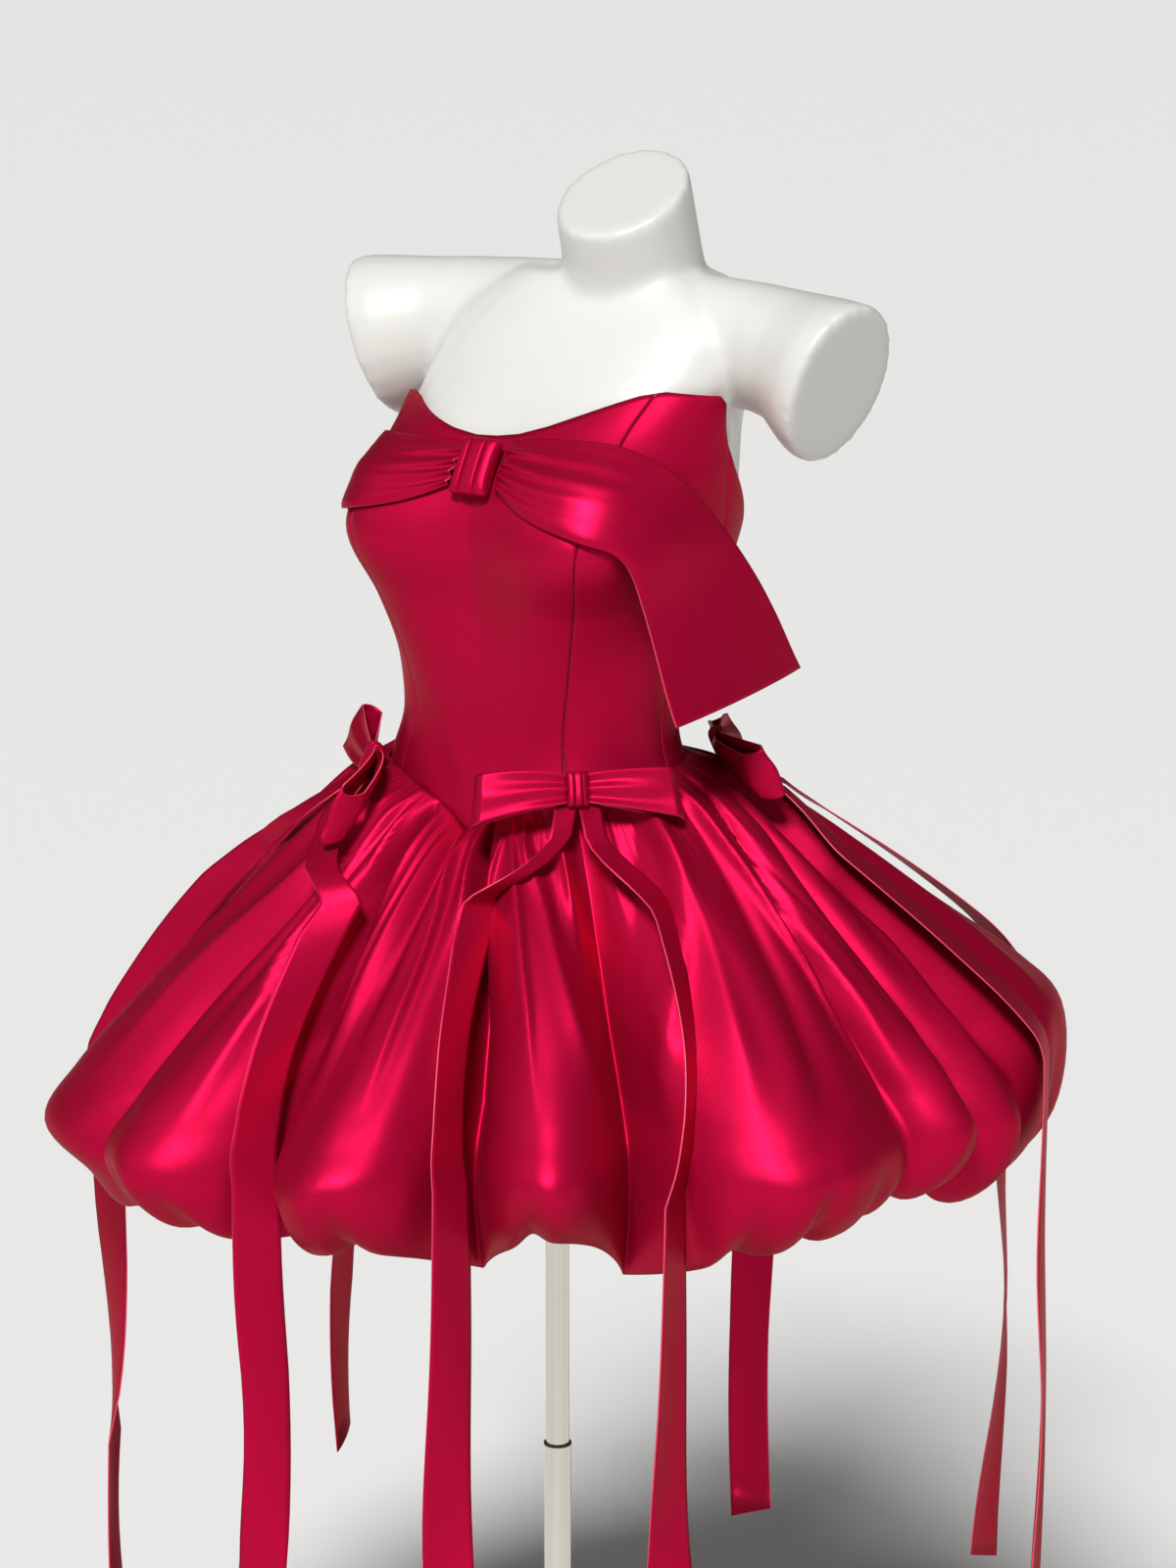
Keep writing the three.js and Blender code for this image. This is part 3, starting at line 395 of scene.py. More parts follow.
wingPleats = [  # folds that leave the knot: where across the band, how high, how far they run, which way
    dict(at=0.84, height=5.0, width=0.07, runs=0.62, drift=-0.12),
    dict(at=0.60, height=7.0, width=0.09, runs=0.78, drift=-0.04),
    dict(at=0.36, height=6.5, width=0.09, runs=0.60, drift=0.10),
    dict(at=0.12, height=5.0, width=0.07, runs=0.44, drift=0.08),
]


def smooth(t):  # an even start and stop between 0 and 1
    return t * t * (3 - 2 * t)


def pleatRise(share, v):
    rise = 0
    for pleat in wingPleats:
        at = pleat["at"] + pleat["drift"] * share / pleat["runs"]
        off = (v - at) / (pleat["width"] * (1 + 1.4 * share / pleat["runs"]))
        fade = max(0.0, 1 - share / pleat["runs"]) ** 1.3
        ridge = bell(off) if off < 0 else bell(off * 3.2 ** 0.5)
        rise += pleat["height"] * ridge * fade
    return rise


def makeWing(side, name, node):
    shape = wingShape["left" if side > 0 else "right"]

    def place(u, v):
        share = u if side > 0 else 1 - u
        along = share * shape["length"]
        row = {key: lookUp(wing, "along", key, along) for key in wing[0] if key != "along"}

        def spot(t, more):  # a point across the band, t up from its lower edge
            across = row["lowAngle"] + (row["upAngle"] - row["lowAngle"]) * t
            angle = side * (1 + (shape["turn"] - 1) * share) * across
            z = row["lowZ"] + (row["upZ"] - row["lowZ"]) * t + tilt(angle) * t * (1 - along)
            stand = (row["lowOff"] + (row["upOff"] - row["lowOff"]) * t) * (1 + (shape["off"] - 1) * share)
            return bodicePoint(angle, z, fit["cloth"] + stand + more)

        low = wingRoll["low"] * bell(v / wingRoll["width"]) * min(1, share * 6)
        high = wingRoll["high"] * bell((1 - v) / wingRoll["width"])
        billow = wingShape["billow"] * math.sin(share * 5 + v * 2.2) * share
        bulge = wingShape["bulge"] * along * 4 * v * (1 - v)
        curved = spot(v, bulge + pleatRise(share, v) + billow - low - high + wingShape["clear"])
        straight = spot(0, wingShape["clear"]).lerp(spot(1, wingShape["clear"]), v)
        straight = straight.lerp(curved, wingShape["curveLeft"])
        t = (along - wingShape["flatFrom"]) / (wingShape["flatTo"] - wingShape["flatFrom"])
        return curved.lerp(straight, smooth(min(1, max(0, t))))

    bm = clothGrid(wingShape["cols"], wingShape["rows"], place)
    piece = finishMesh(name, bm, satinRibbon, [node])
    thicken(piece, wingShape["cloth"], ribbonEdgeHighlight)


makeWing(1, "bust_wing_left", "bust_bow_wing_left")
makeWing(-1, "bust_wing_right", "bust_bow_wing_right")

knotWrap = dict(
    squareness=0.55, ends=7, endHeight=0.86, grooveWidth=0.032, grooveDepth=0.5, grooveDip=0.05, step=0.07,
    pinch=0.06, cols=56, rows=64,
)


def squared(value):
    return math.copysign(abs(value) ** knotWrap["squareness"], value)


def makeKnot(name, node, angle, lean, centre, size, folds):  # a ribbon wound round the middle of a bow
    a, b = math.radians(angle), math.radians(lean)
    out = Vector((math.sin(a), -math.cos(a), 0))
    along = Vector((math.cos(a), math.sin(a), 0))
    up = Vector((0, 0, math.cos(b))) - out * math.sin(b)
    face = out * math.cos(b) + Vector((0, 0, math.sin(b)))

    def place(u, v):
        t = 2 * math.pi * u
        x = 2 * v - 1
        body = max(0.0, 1 - abs(x) ** knotWrap["ends"]) ** 0.5
        groove = sum(bell((x / 2 - at) / knotWrap["grooveWidth"]) for at in folds)
        step = knotWrap["step"] * math.sin((x + 0.2) * 4.6)
        deep = size["deep"] / 2 * squared(math.sin(t)) * body * (1 - knotWrap["grooveDepth"] * groove + step)
        left = knotWrap["endHeight"] + (1 - knotWrap["endHeight"]) * body  # share of the height left here
        high = size["high"] / 2 * squared(math.cos(t)) * left * (1 - knotWrap["grooveDip"] * groove)
        wide = size["wide"] / 2 * (1 - knotWrap["pinch"] * (1 - abs(math.cos(t))))
        return centre + along * (x * wide) + up * high + face * deep

    bm = clothGrid(knotWrap["cols"], knotWrap["rows"], place, ring=True)
    finishMesh(name, bm, satinRibbon, [node])


bustKnot = dict(wide=34, high=46, deep=15, z=1292, off=11, lean=30)
knotOff = fit["cloth"] + bustKnot["off"]
makeKnot("bust_knot", "bust_bow_knot", 0, bustKnot["lean"], bodicePoint(0, bustKnot["z"], knotOff), bustKnot,
         (-0.2, 0.22))
print("bust bow tied")

# Skirt

firstValley = -66
lobes = [
    dict(to=-36, reach=406, tip=284, hem=338, slant=0.5, valley=0.93, dip=0),
    dict(to=-11, reach=392, tip=264, hem=314, slant=0.3, valley=0.7, dip=10),
    dict(to=21, reach=376, tip=228, hem=284, slant=0.25, valley=0.7, dip=44),
    dict(to=46, reach=366, tip=232, hem=286, slant=0.25, valley=0.7, dip=46),
    dict(to=85, reach=390, tip=250, hem=310, slant=0.25, valley=0.88, dip=-14),
    dict(to=97, reach=378, tip=256, hem=314, slant=0.25, valley=0.9, dip=-4),
    dict(to=108, reach=384, tip=264, hem=334, slant=0.25, valley=0.93, dip=-16),
    dict(to=149, reach=404, tip=216, hem=342, slant=0.14, valley=0.93, dip=0),
    dict(to=174, reach=390, tip=255, hem=330, slant=0.25, valley=0.78, dip=20),
    dict(to=198, reach=382, tip=250, hem=322, slant=0.25, valley=0.76, dip=24),
    dict(to=221, reach=394, tip=252, hem=326, slant=0.25, valley=0.78, dip=20),
    dict(to=246, reach=386, tip=256, hem=320, slant=0.25, valley=0.76, dip=24),
    dict(to=270, reach=398, tip=262, hem=328, slant=0.25, valley=0.8, dip=16),
    dict(to=294, reach=394, tip=272, hem=334, slant=0.3, valley=0.84, dip=8),
]
leans = [  # where folds that start at one angle at the waist come down to at the hem
    dict(waist=-66, hem=-66), dict(waist=-27, hem=-36), dict(waist=-17, hem=-11), dict(waist=15, hem=21),
    dict(waist=31, hem=43), dict(waist=63, hem=49), dict(waist=95, hem=85), dict(waist=104, hem=97),
    dict(waist=110, hem=108), dict(waist=149, hem=149), dict(waist=294, hem=294),
]
leanOver = dict(start=0.12, stop=0.4)
gathers = [
    dict(angle=-50, width=3.4, height=9, ends=0.8), dict(angle=-26, width=3.2, height=11, ends=0.9),
    dict(angle=-2, width=2.6, height=8, ends=0.7), dict(angle=5, width=2.2, height=10, ends=0.85),
    dict(angle=12, width=2.2, height=10, ends=0.8), dict(angle=18.5, width=2.2, height=9, ends=0.6),
    dict(angle=40, width=3, height=9, ends=0.5), dict(angle=53, width=3, height=9, ends=0.7),
    dict(angle=68, width=3.4, height=12, ends=0.9), dict(angle=122, width=3.4, height=9, ends=0.6),
    dict(angle=139, width=3.4, height=9, ends=0.7), dict(angle=168, width=3.2, height=9, ends=0.7),
    dict(angle=206, width=3.2, height=9, ends=0.8), dict(angle=242, width=3.2, height=10, ends=0.8),
    dict(angle=254, width=3.2, height=9, ends=0.7), dict(angle=268, width=3.2, height=9, ends=0.7),
    dict(angle=300, width=3, height=9, ends=0.6),
]
lobeTop = [(0, 0), (0.1, 0.055), (0.27, 0.205), (0.5, 0.43), (0.73, 0.665), (0.91, 0.86), (1, 1)]
skirt = dict(
    crownPower=0.45, waistDrop=-0.8, cols=600, rows=72, wall=1.2, gatherLength=0.8, foldAtWaist=0.35,
    facing=34, crowding=22,
)
valleys = dict(cut=14, width=0.16, fadeFrom=0.5, fadeOver=0.15)  # how the cloth draws in between two lobes
swell = dict(height=5, round=4, down=3)  # a slow unevenness over the whole skirt
pinchRange = dict(start=0.52, over=0.26)  # share of the way down where the pinches of the hem take hold
foldShape = dict(least=0.8, spread=0.4, reach=3, steep=2.6, crest=1.6, rise=5, fall=3.2)
hemTuck = dict(inward=52, underIn=40, underUp=34, endIn=56, endUp=78, valley=0.4)


def fromFirst(angle):
    return (angle - firstValley) % 360 + firstValley


def hemAngle(angle, along):  # the angle at the hem of the fold that passes here
    t = min(1, max(0, (along - leanOver["start"]) / (leanOver["stop"] - leanOver["start"])))
    share = t * t * (3 - 2 * t)
    level = [dict(at=row["waist"] + (row["hem"] - row["waist"]) * share, hem=row["hem"]) for row in leans]
    return lookUpStraight(level, "at", "hem", fromFirst(angle))


def lobeAt(angle):  # a lobe's number, and the place in it from -1 to 1
    at = fromFirst(angle)
    i = next(n for n, lobe in enumerate(lobes) if at <= lobe["to"])
    start = lobes[i - 1]["to"] if i else firstValley
    return i, 2 * (at - start) / (lobes[i]["to"] - start) - 1


def lobeColumn(column, angle, here=None):
    i, across = here or lobeAt(angle)
    other = lobes[(i + (1 if across > 0 else -1)) % len(lobes)]
    share = 0.5 * abs(across) ** 3
    return lobes[i][column] * (1 - share) + other[column] * share


def valleyColumn(column, here):
    i, across = here
    return lobes[(i + (0 if across > 0 else -1)) % len(lobes)][column]


def curvePoint(points, t):  # centripetal curve through the points of a section
    last = len(points) - 1
    i = min(int(last * t), last - 1)
    weight = last * t - i
    p1, p2 = points[i], points[i + 1]
    p0 = points[i - 1] if i else (2 * p1[0] - p2[0], 2 * p1[1] - p2[1])
    p3 = points[i + 2] if i + 2 <= last else (2 * p2[0] - p1[0], 2 * p2[1] - p1[1])
    d0, d1, d2 = (math.dist(a, b) ** 0.5 for a, b in ((p0, p1), (p1, p2), (p2, p3)))
    result = []
    for a, b, c, d in zip(p0, p1, p2, p3):
        t1 = ((b - a) / d0 - (c - a) / (d0 + d1) + (c - b) / d1) * d1
        t2 = ((c - b) / d1 - (d - b) / (d1 + d2) + (d - c) / d2) * d1
        cubic = (2 * b - 2 * c + t1 + t2) * weight ** 3 + (3 * c - 3 * b - 2 * t1 - t2) * weight ** 2
        result.append(cubic + t1 * weight + b)
    return result


sections = {}


def skirtSection(angle, low):  # the skirt's section at an angle, as radius and drop under the waist
    key = (round(angle % 360, 3), round(low % 360, 3))
    if key in sections:
        return sections[key]
    here = lobeAt(low)
    full = (0.5 + 0.5 * math.cos(math.pi * here[1])) ** skirt["crownPower"]
    waist = figureRadius(angle, lowEdge(angle)) + fit["clear"] + fit["cloth"]
    reach = lobeColumn("reach", low, here) * (1 - (1 - valleyColumn("valley", here)) * (1 - full))
    tip = lobeColumn("tip", low, here)
    hem = lobeColumn("hem", low, here) + valleyColumn("dip", here) * (1 - full)
    slant = lobeColumn("slant", low, here)
    points = [(waist + (reach - waist) * out, tip * down) for out, down in lobeTop]
    tuck = hemTuck["valley"] + (1 - hemTuck["valley"]) * full
    hemRadius = reach - hemTuck["inward"] * tuck
    points.append((reach - hemTuck["inward"] * tuck * slant, tip + (hem - tip) * (0.74 - 0.48 * slant)))
    points.append((hemRadius, hem))
    points.append((hemRadius - hemTuck["underIn"] * tuck, hem - hemTuck["underUp"]))
    points.append((hemRadius - hemTuck["endIn"] * tuck, hem - hemTuck["endUp"]))
    sections[key] = points
    return points


def gatherHeight(angle, along):
    total = 0
    for gather in gathers:
        off = turn(gather["angle"], angle) / gather["width"]
        if abs(off) > 3:
            continue
        fade = max(0, 1 - along / gather["ends"])
        total += gather["height"] * math.exp(-off * off) * min(1, 0.25 + along * 6) * fade
    return total


# Folds laid in one by one on the sides in view. Each runs through points of share of the fall and angle.
# sharp is the side on which it falls away steeply. Heights are in mm, less than nothing for a trough.
folds = [
    dict(path=[(0.04, -33), (0.233, -38), (0.3, -41.6), (0.36, -43), (0.5, -44)],
         width=2.6, height=11, sharp=0),
    dict(path=[(0.03, -23.5), (0.21, -24), (0.278, -25.6), (0.364, -26.6), (0.48, -26.7)],
         width=2.2, height=-12, sharp=0),
    dict(path=[(0.02, -24.6), (0.1, -24.4), (0.273, -23), (0.334, -19.7), (0.52, -19.4)],
         width=1.9, height=10, sharp=1),
    dict(path=[(0.02, -15), (0.123, -15.5), (0.224, -17.3), (0.326, -12), (0.408, -14.5), (0.474, -12),
               (0.56, -8.5)], width=1.8, height=-15, sharp=0),
    dict(path=[(0.04, -21.5), (0.123, -20.7), (0.243, -16.4), (0.291, -13.7), (0.37, -9.5)],
         width=1.4, height=8, sharp=1),
    dict(path=[(0.03, -14.5), (0.137, -12.8), (0.224, -11.7), (0.296, -10.4), (0.355, -9), (0.428, -8),
               (0.56, -5)], width=2.0, height=11, sharp=-1),
    dict(path=[(0.02, -7.4), (0.2, -7.6), (0.42, -7.9)], width=1.1, height=6, sharp=0),
    dict(path=[(0.02, -3.9), (0.287, -3.4), (0.45, -0.8)], width=1.5, height=8, sharp=0),
    dict(path=[(0.02, -0.5), (0.25, 1.8), (0.42, 3.2)], width=1.5, height=-8, sharp=0),
    dict(path=[(0.02, 3.2), (0.07, 3.6), (0.211, 7.4), (0.273, 8.3), (0.46, 8.1)],
         width=1.7, height=9, sharp=1),
    dict(path=[(0.02, 9), (0.163, 11.6), (0.238, 14.4), (0.326, 17), (0.428, 18.4), (0.6, 19)],
         width=2.2, height=11, sharp=1),
    dict(path=[(0.02, 22), (0.09, 21.5), (0.183, 18.6), (0.278, 20.4), (0.377, 22.6), (0.5, 24.2)],
         width=1.5, height=9, sharp=-1),
    dict(path=[(0.02, 23), (0.1, 24), (0.238, 28.4), (0.334, 30.5), (0.47, 31.7)],
         width=2.0, height=9, sharp=1),
    dict(path=[(0.04, 28), (0.137, 28.7), (0.22, 34.2), (0.291, 36.6), (0.368, 39.2), (0.5, 41.5)],
         width=2.0, height=11, sharp=1),
    dict(path=[(0.02, 38.4), (0.09, 39), (0.243, 41), (0.31, 41.5)], width=1.4, height=9, sharp=0),
    dict(path=[(0.05, 66), (0.12, 66), (0.183, 65), (0.247, 62.2), (0.304, 57.4), (0.36, 52.6), (0.413, 50.6),
               (0.54, 50.4)], width=2.0, height=12, sharp=-1),
    dict(path=[(0.05, 69), (0.137, 67), (0.25, 65), (0.36, 61.6), (0.5, 59)], width=2.2, height=9, sharp=0),
    dict(path=[(0.04, 81), (0.163, 80), (0.278, 76), (0.351, 74), (0.418, 71), (0.54, 66)],
         width=2.4, height=-13, sharp=0),
    dict(path=[(0.02, 85.5), (0.197, 82), (0.282, 81), (0.338, 82), (0.52, 79.5)],
         width=2.0, height=12, sharp=-1),
    dict(path=[(0.08, 95), (0.15, 94), (0.273, 88.6), (0.5, 86.4)], width=1.3, height=8, sharp=-1),
    dict(path=[(0.1, 104), (0.256, 101), (0.351, 96), (0.53, 90)], width=1.5, height=8, sharp=0),
    dict(path=[(0.08, 107), (0.197, 104), (0.3, 99.6), (0.385, 97.6), (0.52, 97)],
         width=1.3, height=-9, sharp=0),
    dict(path=[(0.08, 118), (0.206, 115), (0.309, 108.6), (0.394, 104), (0.58, 101)],
         width=1.7, height=9, sharp=0),
    dict(path=[(0.1, 112), (0.282, 110), (0.368, 108.5), (0.58, 108)], width=1.6, height=-8, sharp=0),
    dict(path=[(0.03, 126), (0.2, 125), (0.45, 121), (0.58, 120)], width=3.0, height=9, sharp=0),
    dict(path=[(0.03, 133), (0.2, 134), (0.45, 137), (0.56, 137)], width=2.4, height=-9, sharp=0),
]
for i in range(26):  # and like them round the back
    middle = 145 + i * 6.4
    swing = random.uniform(-4, 4)
    folds.append(dict(
        path=[(0.02, middle), (0.2, middle + swing * 0.3), (random.uniform(0.36, 0.58), middle + swing)],
        width=random.uniform(1.5, 2.8), height=random.choice((-1, 1)) * random.uniform(6, 12),
        sharp=random.choice((-1, 0, 1)),
    ))
fineGathers = []
for i in range(150):  # stitched fullness at the waist seam
    fineGathers.append(dict(
        angle=i * 2.4 + random.uniform(-0.7, 0.7), width=random.uniform(0.55, 0.95),
        height=random.uniform(1.4, 3.4), ends=random.uniform(0.10, 0.30),
    ))
pinches = [  # where the turned hem is caught up, between one puff and the next
    dict(angle=-53, width=2.4, lift=7, draw=9), dict(angle=-27, width=2.0, lift=9, draw=10),
    dict(angle=-20, width=1.8, lift=6, draw=8), dict(angle=-2, width=1.8, lift=5, draw=7),
    dict(angle=7, width=1.8, lift=6, draw=8), dict(angle=31, width=1.8, lift=7, draw=8),
    dict(angle=58, width=2.0, lift=7, draw=9), dict(angle=66, width=1.8, lift=8, draw=10),
    dict(angle=75, width=1.8, lift=6, draw=8), dict(angle=91, width=1.4, lift=6, draw=7),
    dict(angle=119, width=2.2, lift=8, draw=9), dict(angle=134, width=2.2, lift=9, draw=10),
]
for i in range(24):
    pinches.append(dict(
        angle=152 + i * 5.7 + random.uniform(-1.5, 1.5), width=random.uniform(1.5, 2.4),
        lift=random.uniform(4, 9), draw=random.uniform(6, 11),
    ))
skirtSeams = dict(angles=(93, 180, -93), dip=2.2, width=0.5)  # drawn in a little


def pathAngle(path, along):
    i = next((n for n, (at, _) in enumerate(path) if at > along), len(path) - 1) or 1
    (a, start), (b, stop) = path[i - 1], path[i]
    return start + (stop - start) * (along - a) / (b - a)


def foldRise(angle, along):
    rise = 0
    for fold in folds:
        path = fold["path"]
        t = (along - path[0][0]) / (path[-1][0] - path[0][0])
        if not 0 < t < 1:
            continue
        width = fold["width"] * (foldShape["least"] + foldShape["spread"] * t)
        off = turn(pathAngle(path, along), angle) / width
        if abs(off) > foldShape["reach"]:
            continue
        if off * fold["sharp"] > 0:
            off *= foldShape["steep"]
        crest = bell(off) if fold["height"] < 0 else math.exp(-abs(off) ** foldShape["crest"])
        rise += fold["height"] * crest * min(1, t * foldShape["rise"]) * min(1, (1 - t) * foldShape["fall"])
    for gather in fineGathers:
        off = turn(gather["angle"], angle) / gather["width"]
        if abs(off) < 3 and along < gather["ends"]:
            rise += gather["height"] * bell(off) * (1 - along / gather["ends"]) ** 0.8
    for seam in skirtSeams["angles"]:
        rise -= skirtSeams["dip"] * bell(turn(seam, angle) / skirtSeams["width"])
    return rise


def skirtPoint(angle, along, fine=True):
    radius, drop = curvePoint(skirtSection(angle, hemAngle(angle, along)), along)
    radius += gatherHeight(angle, along / skirt["gatherLength"])
    lift = 0
    a = math.radians(angle)
    if fine:
        grow = min(1, along * 5)
        radius += foldRise(angle, along) * (skirt["foldAtWaist"] + (1 - skirt["foldAtWaist"]) * grow)
        edge = 1 - abs(lobeAt(hemAngle(angle, along))[1])  # 0 in a valley between two lobes
        fade = max(0.0, 1 - max(0.0, along - valleys["fadeFrom"]) / valleys["fadeOver"])
        radius -= valleys["cut"] * bell(edge / valleys["width"]) * grow * fade
        spot = Vector((math.sin(a) * swell["round"], math.cos(a) * swell["round"], along * swell["down"]))
        radius += swell["height"] * noise.noise(spot) * min(1, along * 3)
        low = smooth(max(0.0, min(1.0, (along - pinchRange["start"]) / pinchRange["over"])))
        for pinch in pinches:
            away = turn(pinch["angle"], angle) / pinch["width"]
            if abs(away) < 3:
                radius -= pinch["draw"] * bell(away) * low
                lift += pinch["lift"] * bell(away) * low
    row = figureRow(lowEdge(angle))
    centre = max(0, 1 - along * 2)
    x = row["x"] * centre + radius * math.sin(a)
    y = row["y"] * centre - radius * math.cos(a)
    return Vector((x, y, lowEdge(angle) - skirt["waistDrop"] - drop + lift))


def makeSkirt():
    def place(u, v):  # columns lie closer together on the side in view
        turned = 2 * math.pi * (u - 0.5)
        angle = skirt["facing"] + math.degrees(turned) - skirt["crowding"] * math.sin(turned)
        return skirtPoint(angle, 1 - v)

    bm = clothGrid(skirt["cols"], skirt["rows"], place, ring=True)
    panelNodes = ["skirt_front", "skirt_back_left", "skirt_back_right"]
    piece = finishMesh("skirt_cloth", bm, satinCloth, panelNodes)
    thicken(piece, skirt["wall"])


makeSkirt()
print("skirt gathered")

# Waist bows and their streamers

waistBow = dict(
    knot=dict(wide=17, high=28, deep=14), knotFolds=(-0.18, 0.2), lean=24, loopLength=72, ribbon=1.1,
    width=38, overSkirt=0.65, startHalf=8, apart=8.6,
)
loopForm = dict(
    tuckIn=1.5, round=2.2, least=2.4, puff=8, narrow=10.5, widen=9, fan=5, sag=5, fallIn=9, knotCrease=1.9,
    farCrease=1.3, cols=72, rows=20,
)
streamerForm = dict(
    tuckIn=3, firstDrop=15, belowTip=10, seat=3.5, least=120, shares=(-1, -0.5, 0, 0.5, 1), drops=(-6, 6),
    curl=3.5, ripple=1.2, slide=7, endCut=0.35, cols=10, rows=60,
)
bows = [
    dict(name="right_front", angle=-45, loops=[dict(bend=24, droop=34), dict(bend=6, droop=-10)], streamers=[
        dict(top=-60, hangs=-66, edge=70, face=0, end=300, sway=5),
        dict(top=-17, hangs=-11, edge=75, face=40, end=310, sway=6)]),
    dict(name="left_front", angle=40.5, loops=[dict(bend=0, droop=0), dict(bend=0, droop=2)], streamers=[
        dict(top=16, hangs=20, edge=70, face=0, end=295, sway=8),
        dict(top=58, hangs=49, edge=60, face=0, end=305, sway=6)]),
    dict(name="left_back", angle=122, loops=[dict(bend=6, droop=8), dict(bend=34, droop=14)], streamers=[
        dict(top=112, hangs=111, edge=3, face=0, end=320, sway=4),
        dict(top=136, hangs=146, edge=10, face=-60, end=310, sway=7)]),
    dict(name="right_back", angle=230, loops=[dict(bend=4, droop=12), dict(bend=4, droop=8)], streamers=[
        dict(top=214, hangs=188, edge=20, face=0, end=266, sway=6),
        dict(top=241, hangs=246, edge=20, face=45, end=361, sway=4)]),
]


def bowFrame(bow):  # the middle of the CAD knot, and the directions along the bow, up it and out of it
    low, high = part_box("bow_" + bow["name"] + "_knot")
    centre = (Vector(low) + Vector(high)) / 2 / mm
    a, b = math.radians(bow["angle"]), math.radians(waistBow["lean"])
    level = Vector((math.sin(a), -math.cos(a), 0))
    along = Vector((math.cos(a), math.sin(a), 0))
    out = level * math.cos(b) + Vector((0, 0, math.sin(b)))
    up = Vector((0, 0, math.cos(b))) - level * math.sin(b)
    return centre, along, out, up


def makeLoop(bow, side, name, node):
    centre, along, out, up = bowFrame(bow)
    form = loopForm
    start = waistBow["knot"]["wide"] / 2 - form["tuckIn"]
    shape = bow["loops"][0 if side > 0 else 1]
    bend, droop = math.radians(shape["bend"]), math.radians(shape["droop"])
    slouch = random.uniform(-3, 3)

    def place(u, v):
        t = (u if side < 0 else 1 - u) * 2 - 1
        far = 1 - abs(t) ** form["round"]  # 0 at both ends in the knot, 1 at the fold furthest from it
        puff = form["least"] + form["puff"] * math.sin(math.pi * min(1, (1 - abs(t)) * 1.15) * 0.5)
        away = math.copysign(1, t) * puff * min(1, abs(t) * 3.2)
        half = form["narrow"] + form["widen"] * far ** 0.8
        run = waistBow["loopLength"] * far + form["fan"] * far * (0.5 - v)
        reach = start + run * (1 - far + far * math.cos(droop) * math.cos(bend))
        crease = form["knotCrease"] * (1 - far) * math.cos(v * 4 * math.pi)
        crease += form["farCrease"] * far * math.sin(v * 6 + t * 4 + slouch)
        outward = away - form["fallIn"] * far * far + crease + run * far * math.sin(bend)
        rise = (v - 0.5) * 2 * half - form["sag"] * far * far + slouch * far * 0.6
        rise -= run * far * math.sin(droop)
        return centre + along * (side * reach) + out * outward + up * rise

    bm = clothGrid(form["cols"], form["rows"], place)
    piece = finishMesh(name, bm, satinRibbon, [node])
    thicken(piece, waistBow["ribbon"], ribbonEdgeHighlight)


def outerReach(angle, z):  # radius of the skirt's outside at a height, at an angle
    best = 0
    last = skirtPoint(angle, 0, fine=False)
    for i in range(1, 31):
        p = skirtPoint(angle, i / 36, fine=False)
        if (last.z - z) * (p.z - z) <= 0 and last.z != p.z:
            t = (z - last.z) / (p.z - last.z)
            best = max(best, math.hypot(last.x + t * (p.x - last.x), last.y + t * (p.y - last.y)))
        last = p
    return best


def makeStreamer(bow, which, name, node):
    centre, along, out, up = bowFrame(bow)
    form = streamerForm
    facts = bow["streamers"][which]
    side = 1 if which else -1
    start = centre - up * (waistBow["knot"]["high"] / 2 - form["tuckIn"]) + along * (side * waistBow["apart"])
    first = start.z - form["firstDrop"]
    tip = lowEdge(facts["hangs"]) - lobeColumn("tip", facts["hangs"]) - form["belowTip"]
    rows, radius = [], 0
    phase = random.uniform(0, 6)
    for i in range(1, form["rows"] + 1):
        down = i / form["rows"]
        over = min(down / waistBow["overSkirt"], 1)
        hang = max(0, (down - waistBow["overSkirt"]) / (1 - waistBow["overSkirt"]))
        leave = smooth(min(1, over * 5))
        spread = facts["top"] + turn(facts["top"], facts["hangs"]) * over
        angle = (bow["angle"] + side * 4) * (1 - leave) + spread * leave
        z = (first + (tip - first) * over ** 0.9) * (1 - hang) + facts["end"] * hang
        half = min(waistBow["width"] / 2, waistBow["startHalf"] + 40 * over)
        edgeOn = facts["edge"] * math.sin(math.pi * min(1, down * 1.15)) ** 0.4
        twist = math.radians(edgeOn + facts["face"] * hang)
        reach = math.degrees(half * math.cos(twist) / max(radius, form["least"]))
        spots = [(angle + reach * share, z + drop) for share in form["shares"] for drop in form["drops"]]
        rests = 0 if hang else max(outerReach(*spot) for spot in spots)
        radius = max(radius, rests + form["seat"] + half * math.sin(twist))
        rows.append((angle, z, half, radius, hang, twist))

    def place(u, v):
        i = round((1 - v) * form["rows"])
        across = 2 * u - 1
        if i == 0:
            return start + along * (waistBow["startHalf"] * across)
        angle, z, half, r, hang, twist = rows[i - 1]
        wave = facts["sway"] * math.sin(hang * 7 + phase) * min(1, hang * 2)
        curl = form["curl"] * (across * across - 0.5) * math.sin(hang * 5 + phase)
        curl += form["ripple"] * math.sin(i * 0.5 + phase) * across
        slide = half * across * math.cos(twist) + form["slide"] * math.sin(hang * 5 + bow["angle"]) * hang
        outward = r - half * across * math.sin(twist) + (wave + curl) * min(1, hang * 3) * 0.8
        a = math.radians(angle)
        x = outward * math.sin(a) + slide * math.cos(a)
        y = slide * math.sin(a) - outward * math.cos(a)
        cut = half * across * form["endCut"] if i == form["rows"] else 0  # the end is cut at a slant
        return Vector((x, y, z - cut))

    bm = clothGrid(form["cols"], form["rows"], place)
    piece = finishMesh(name, bm, satinRibbon, [node])
    thicken(piece, waistBow["ribbon"], ribbonEdgeHighlight)


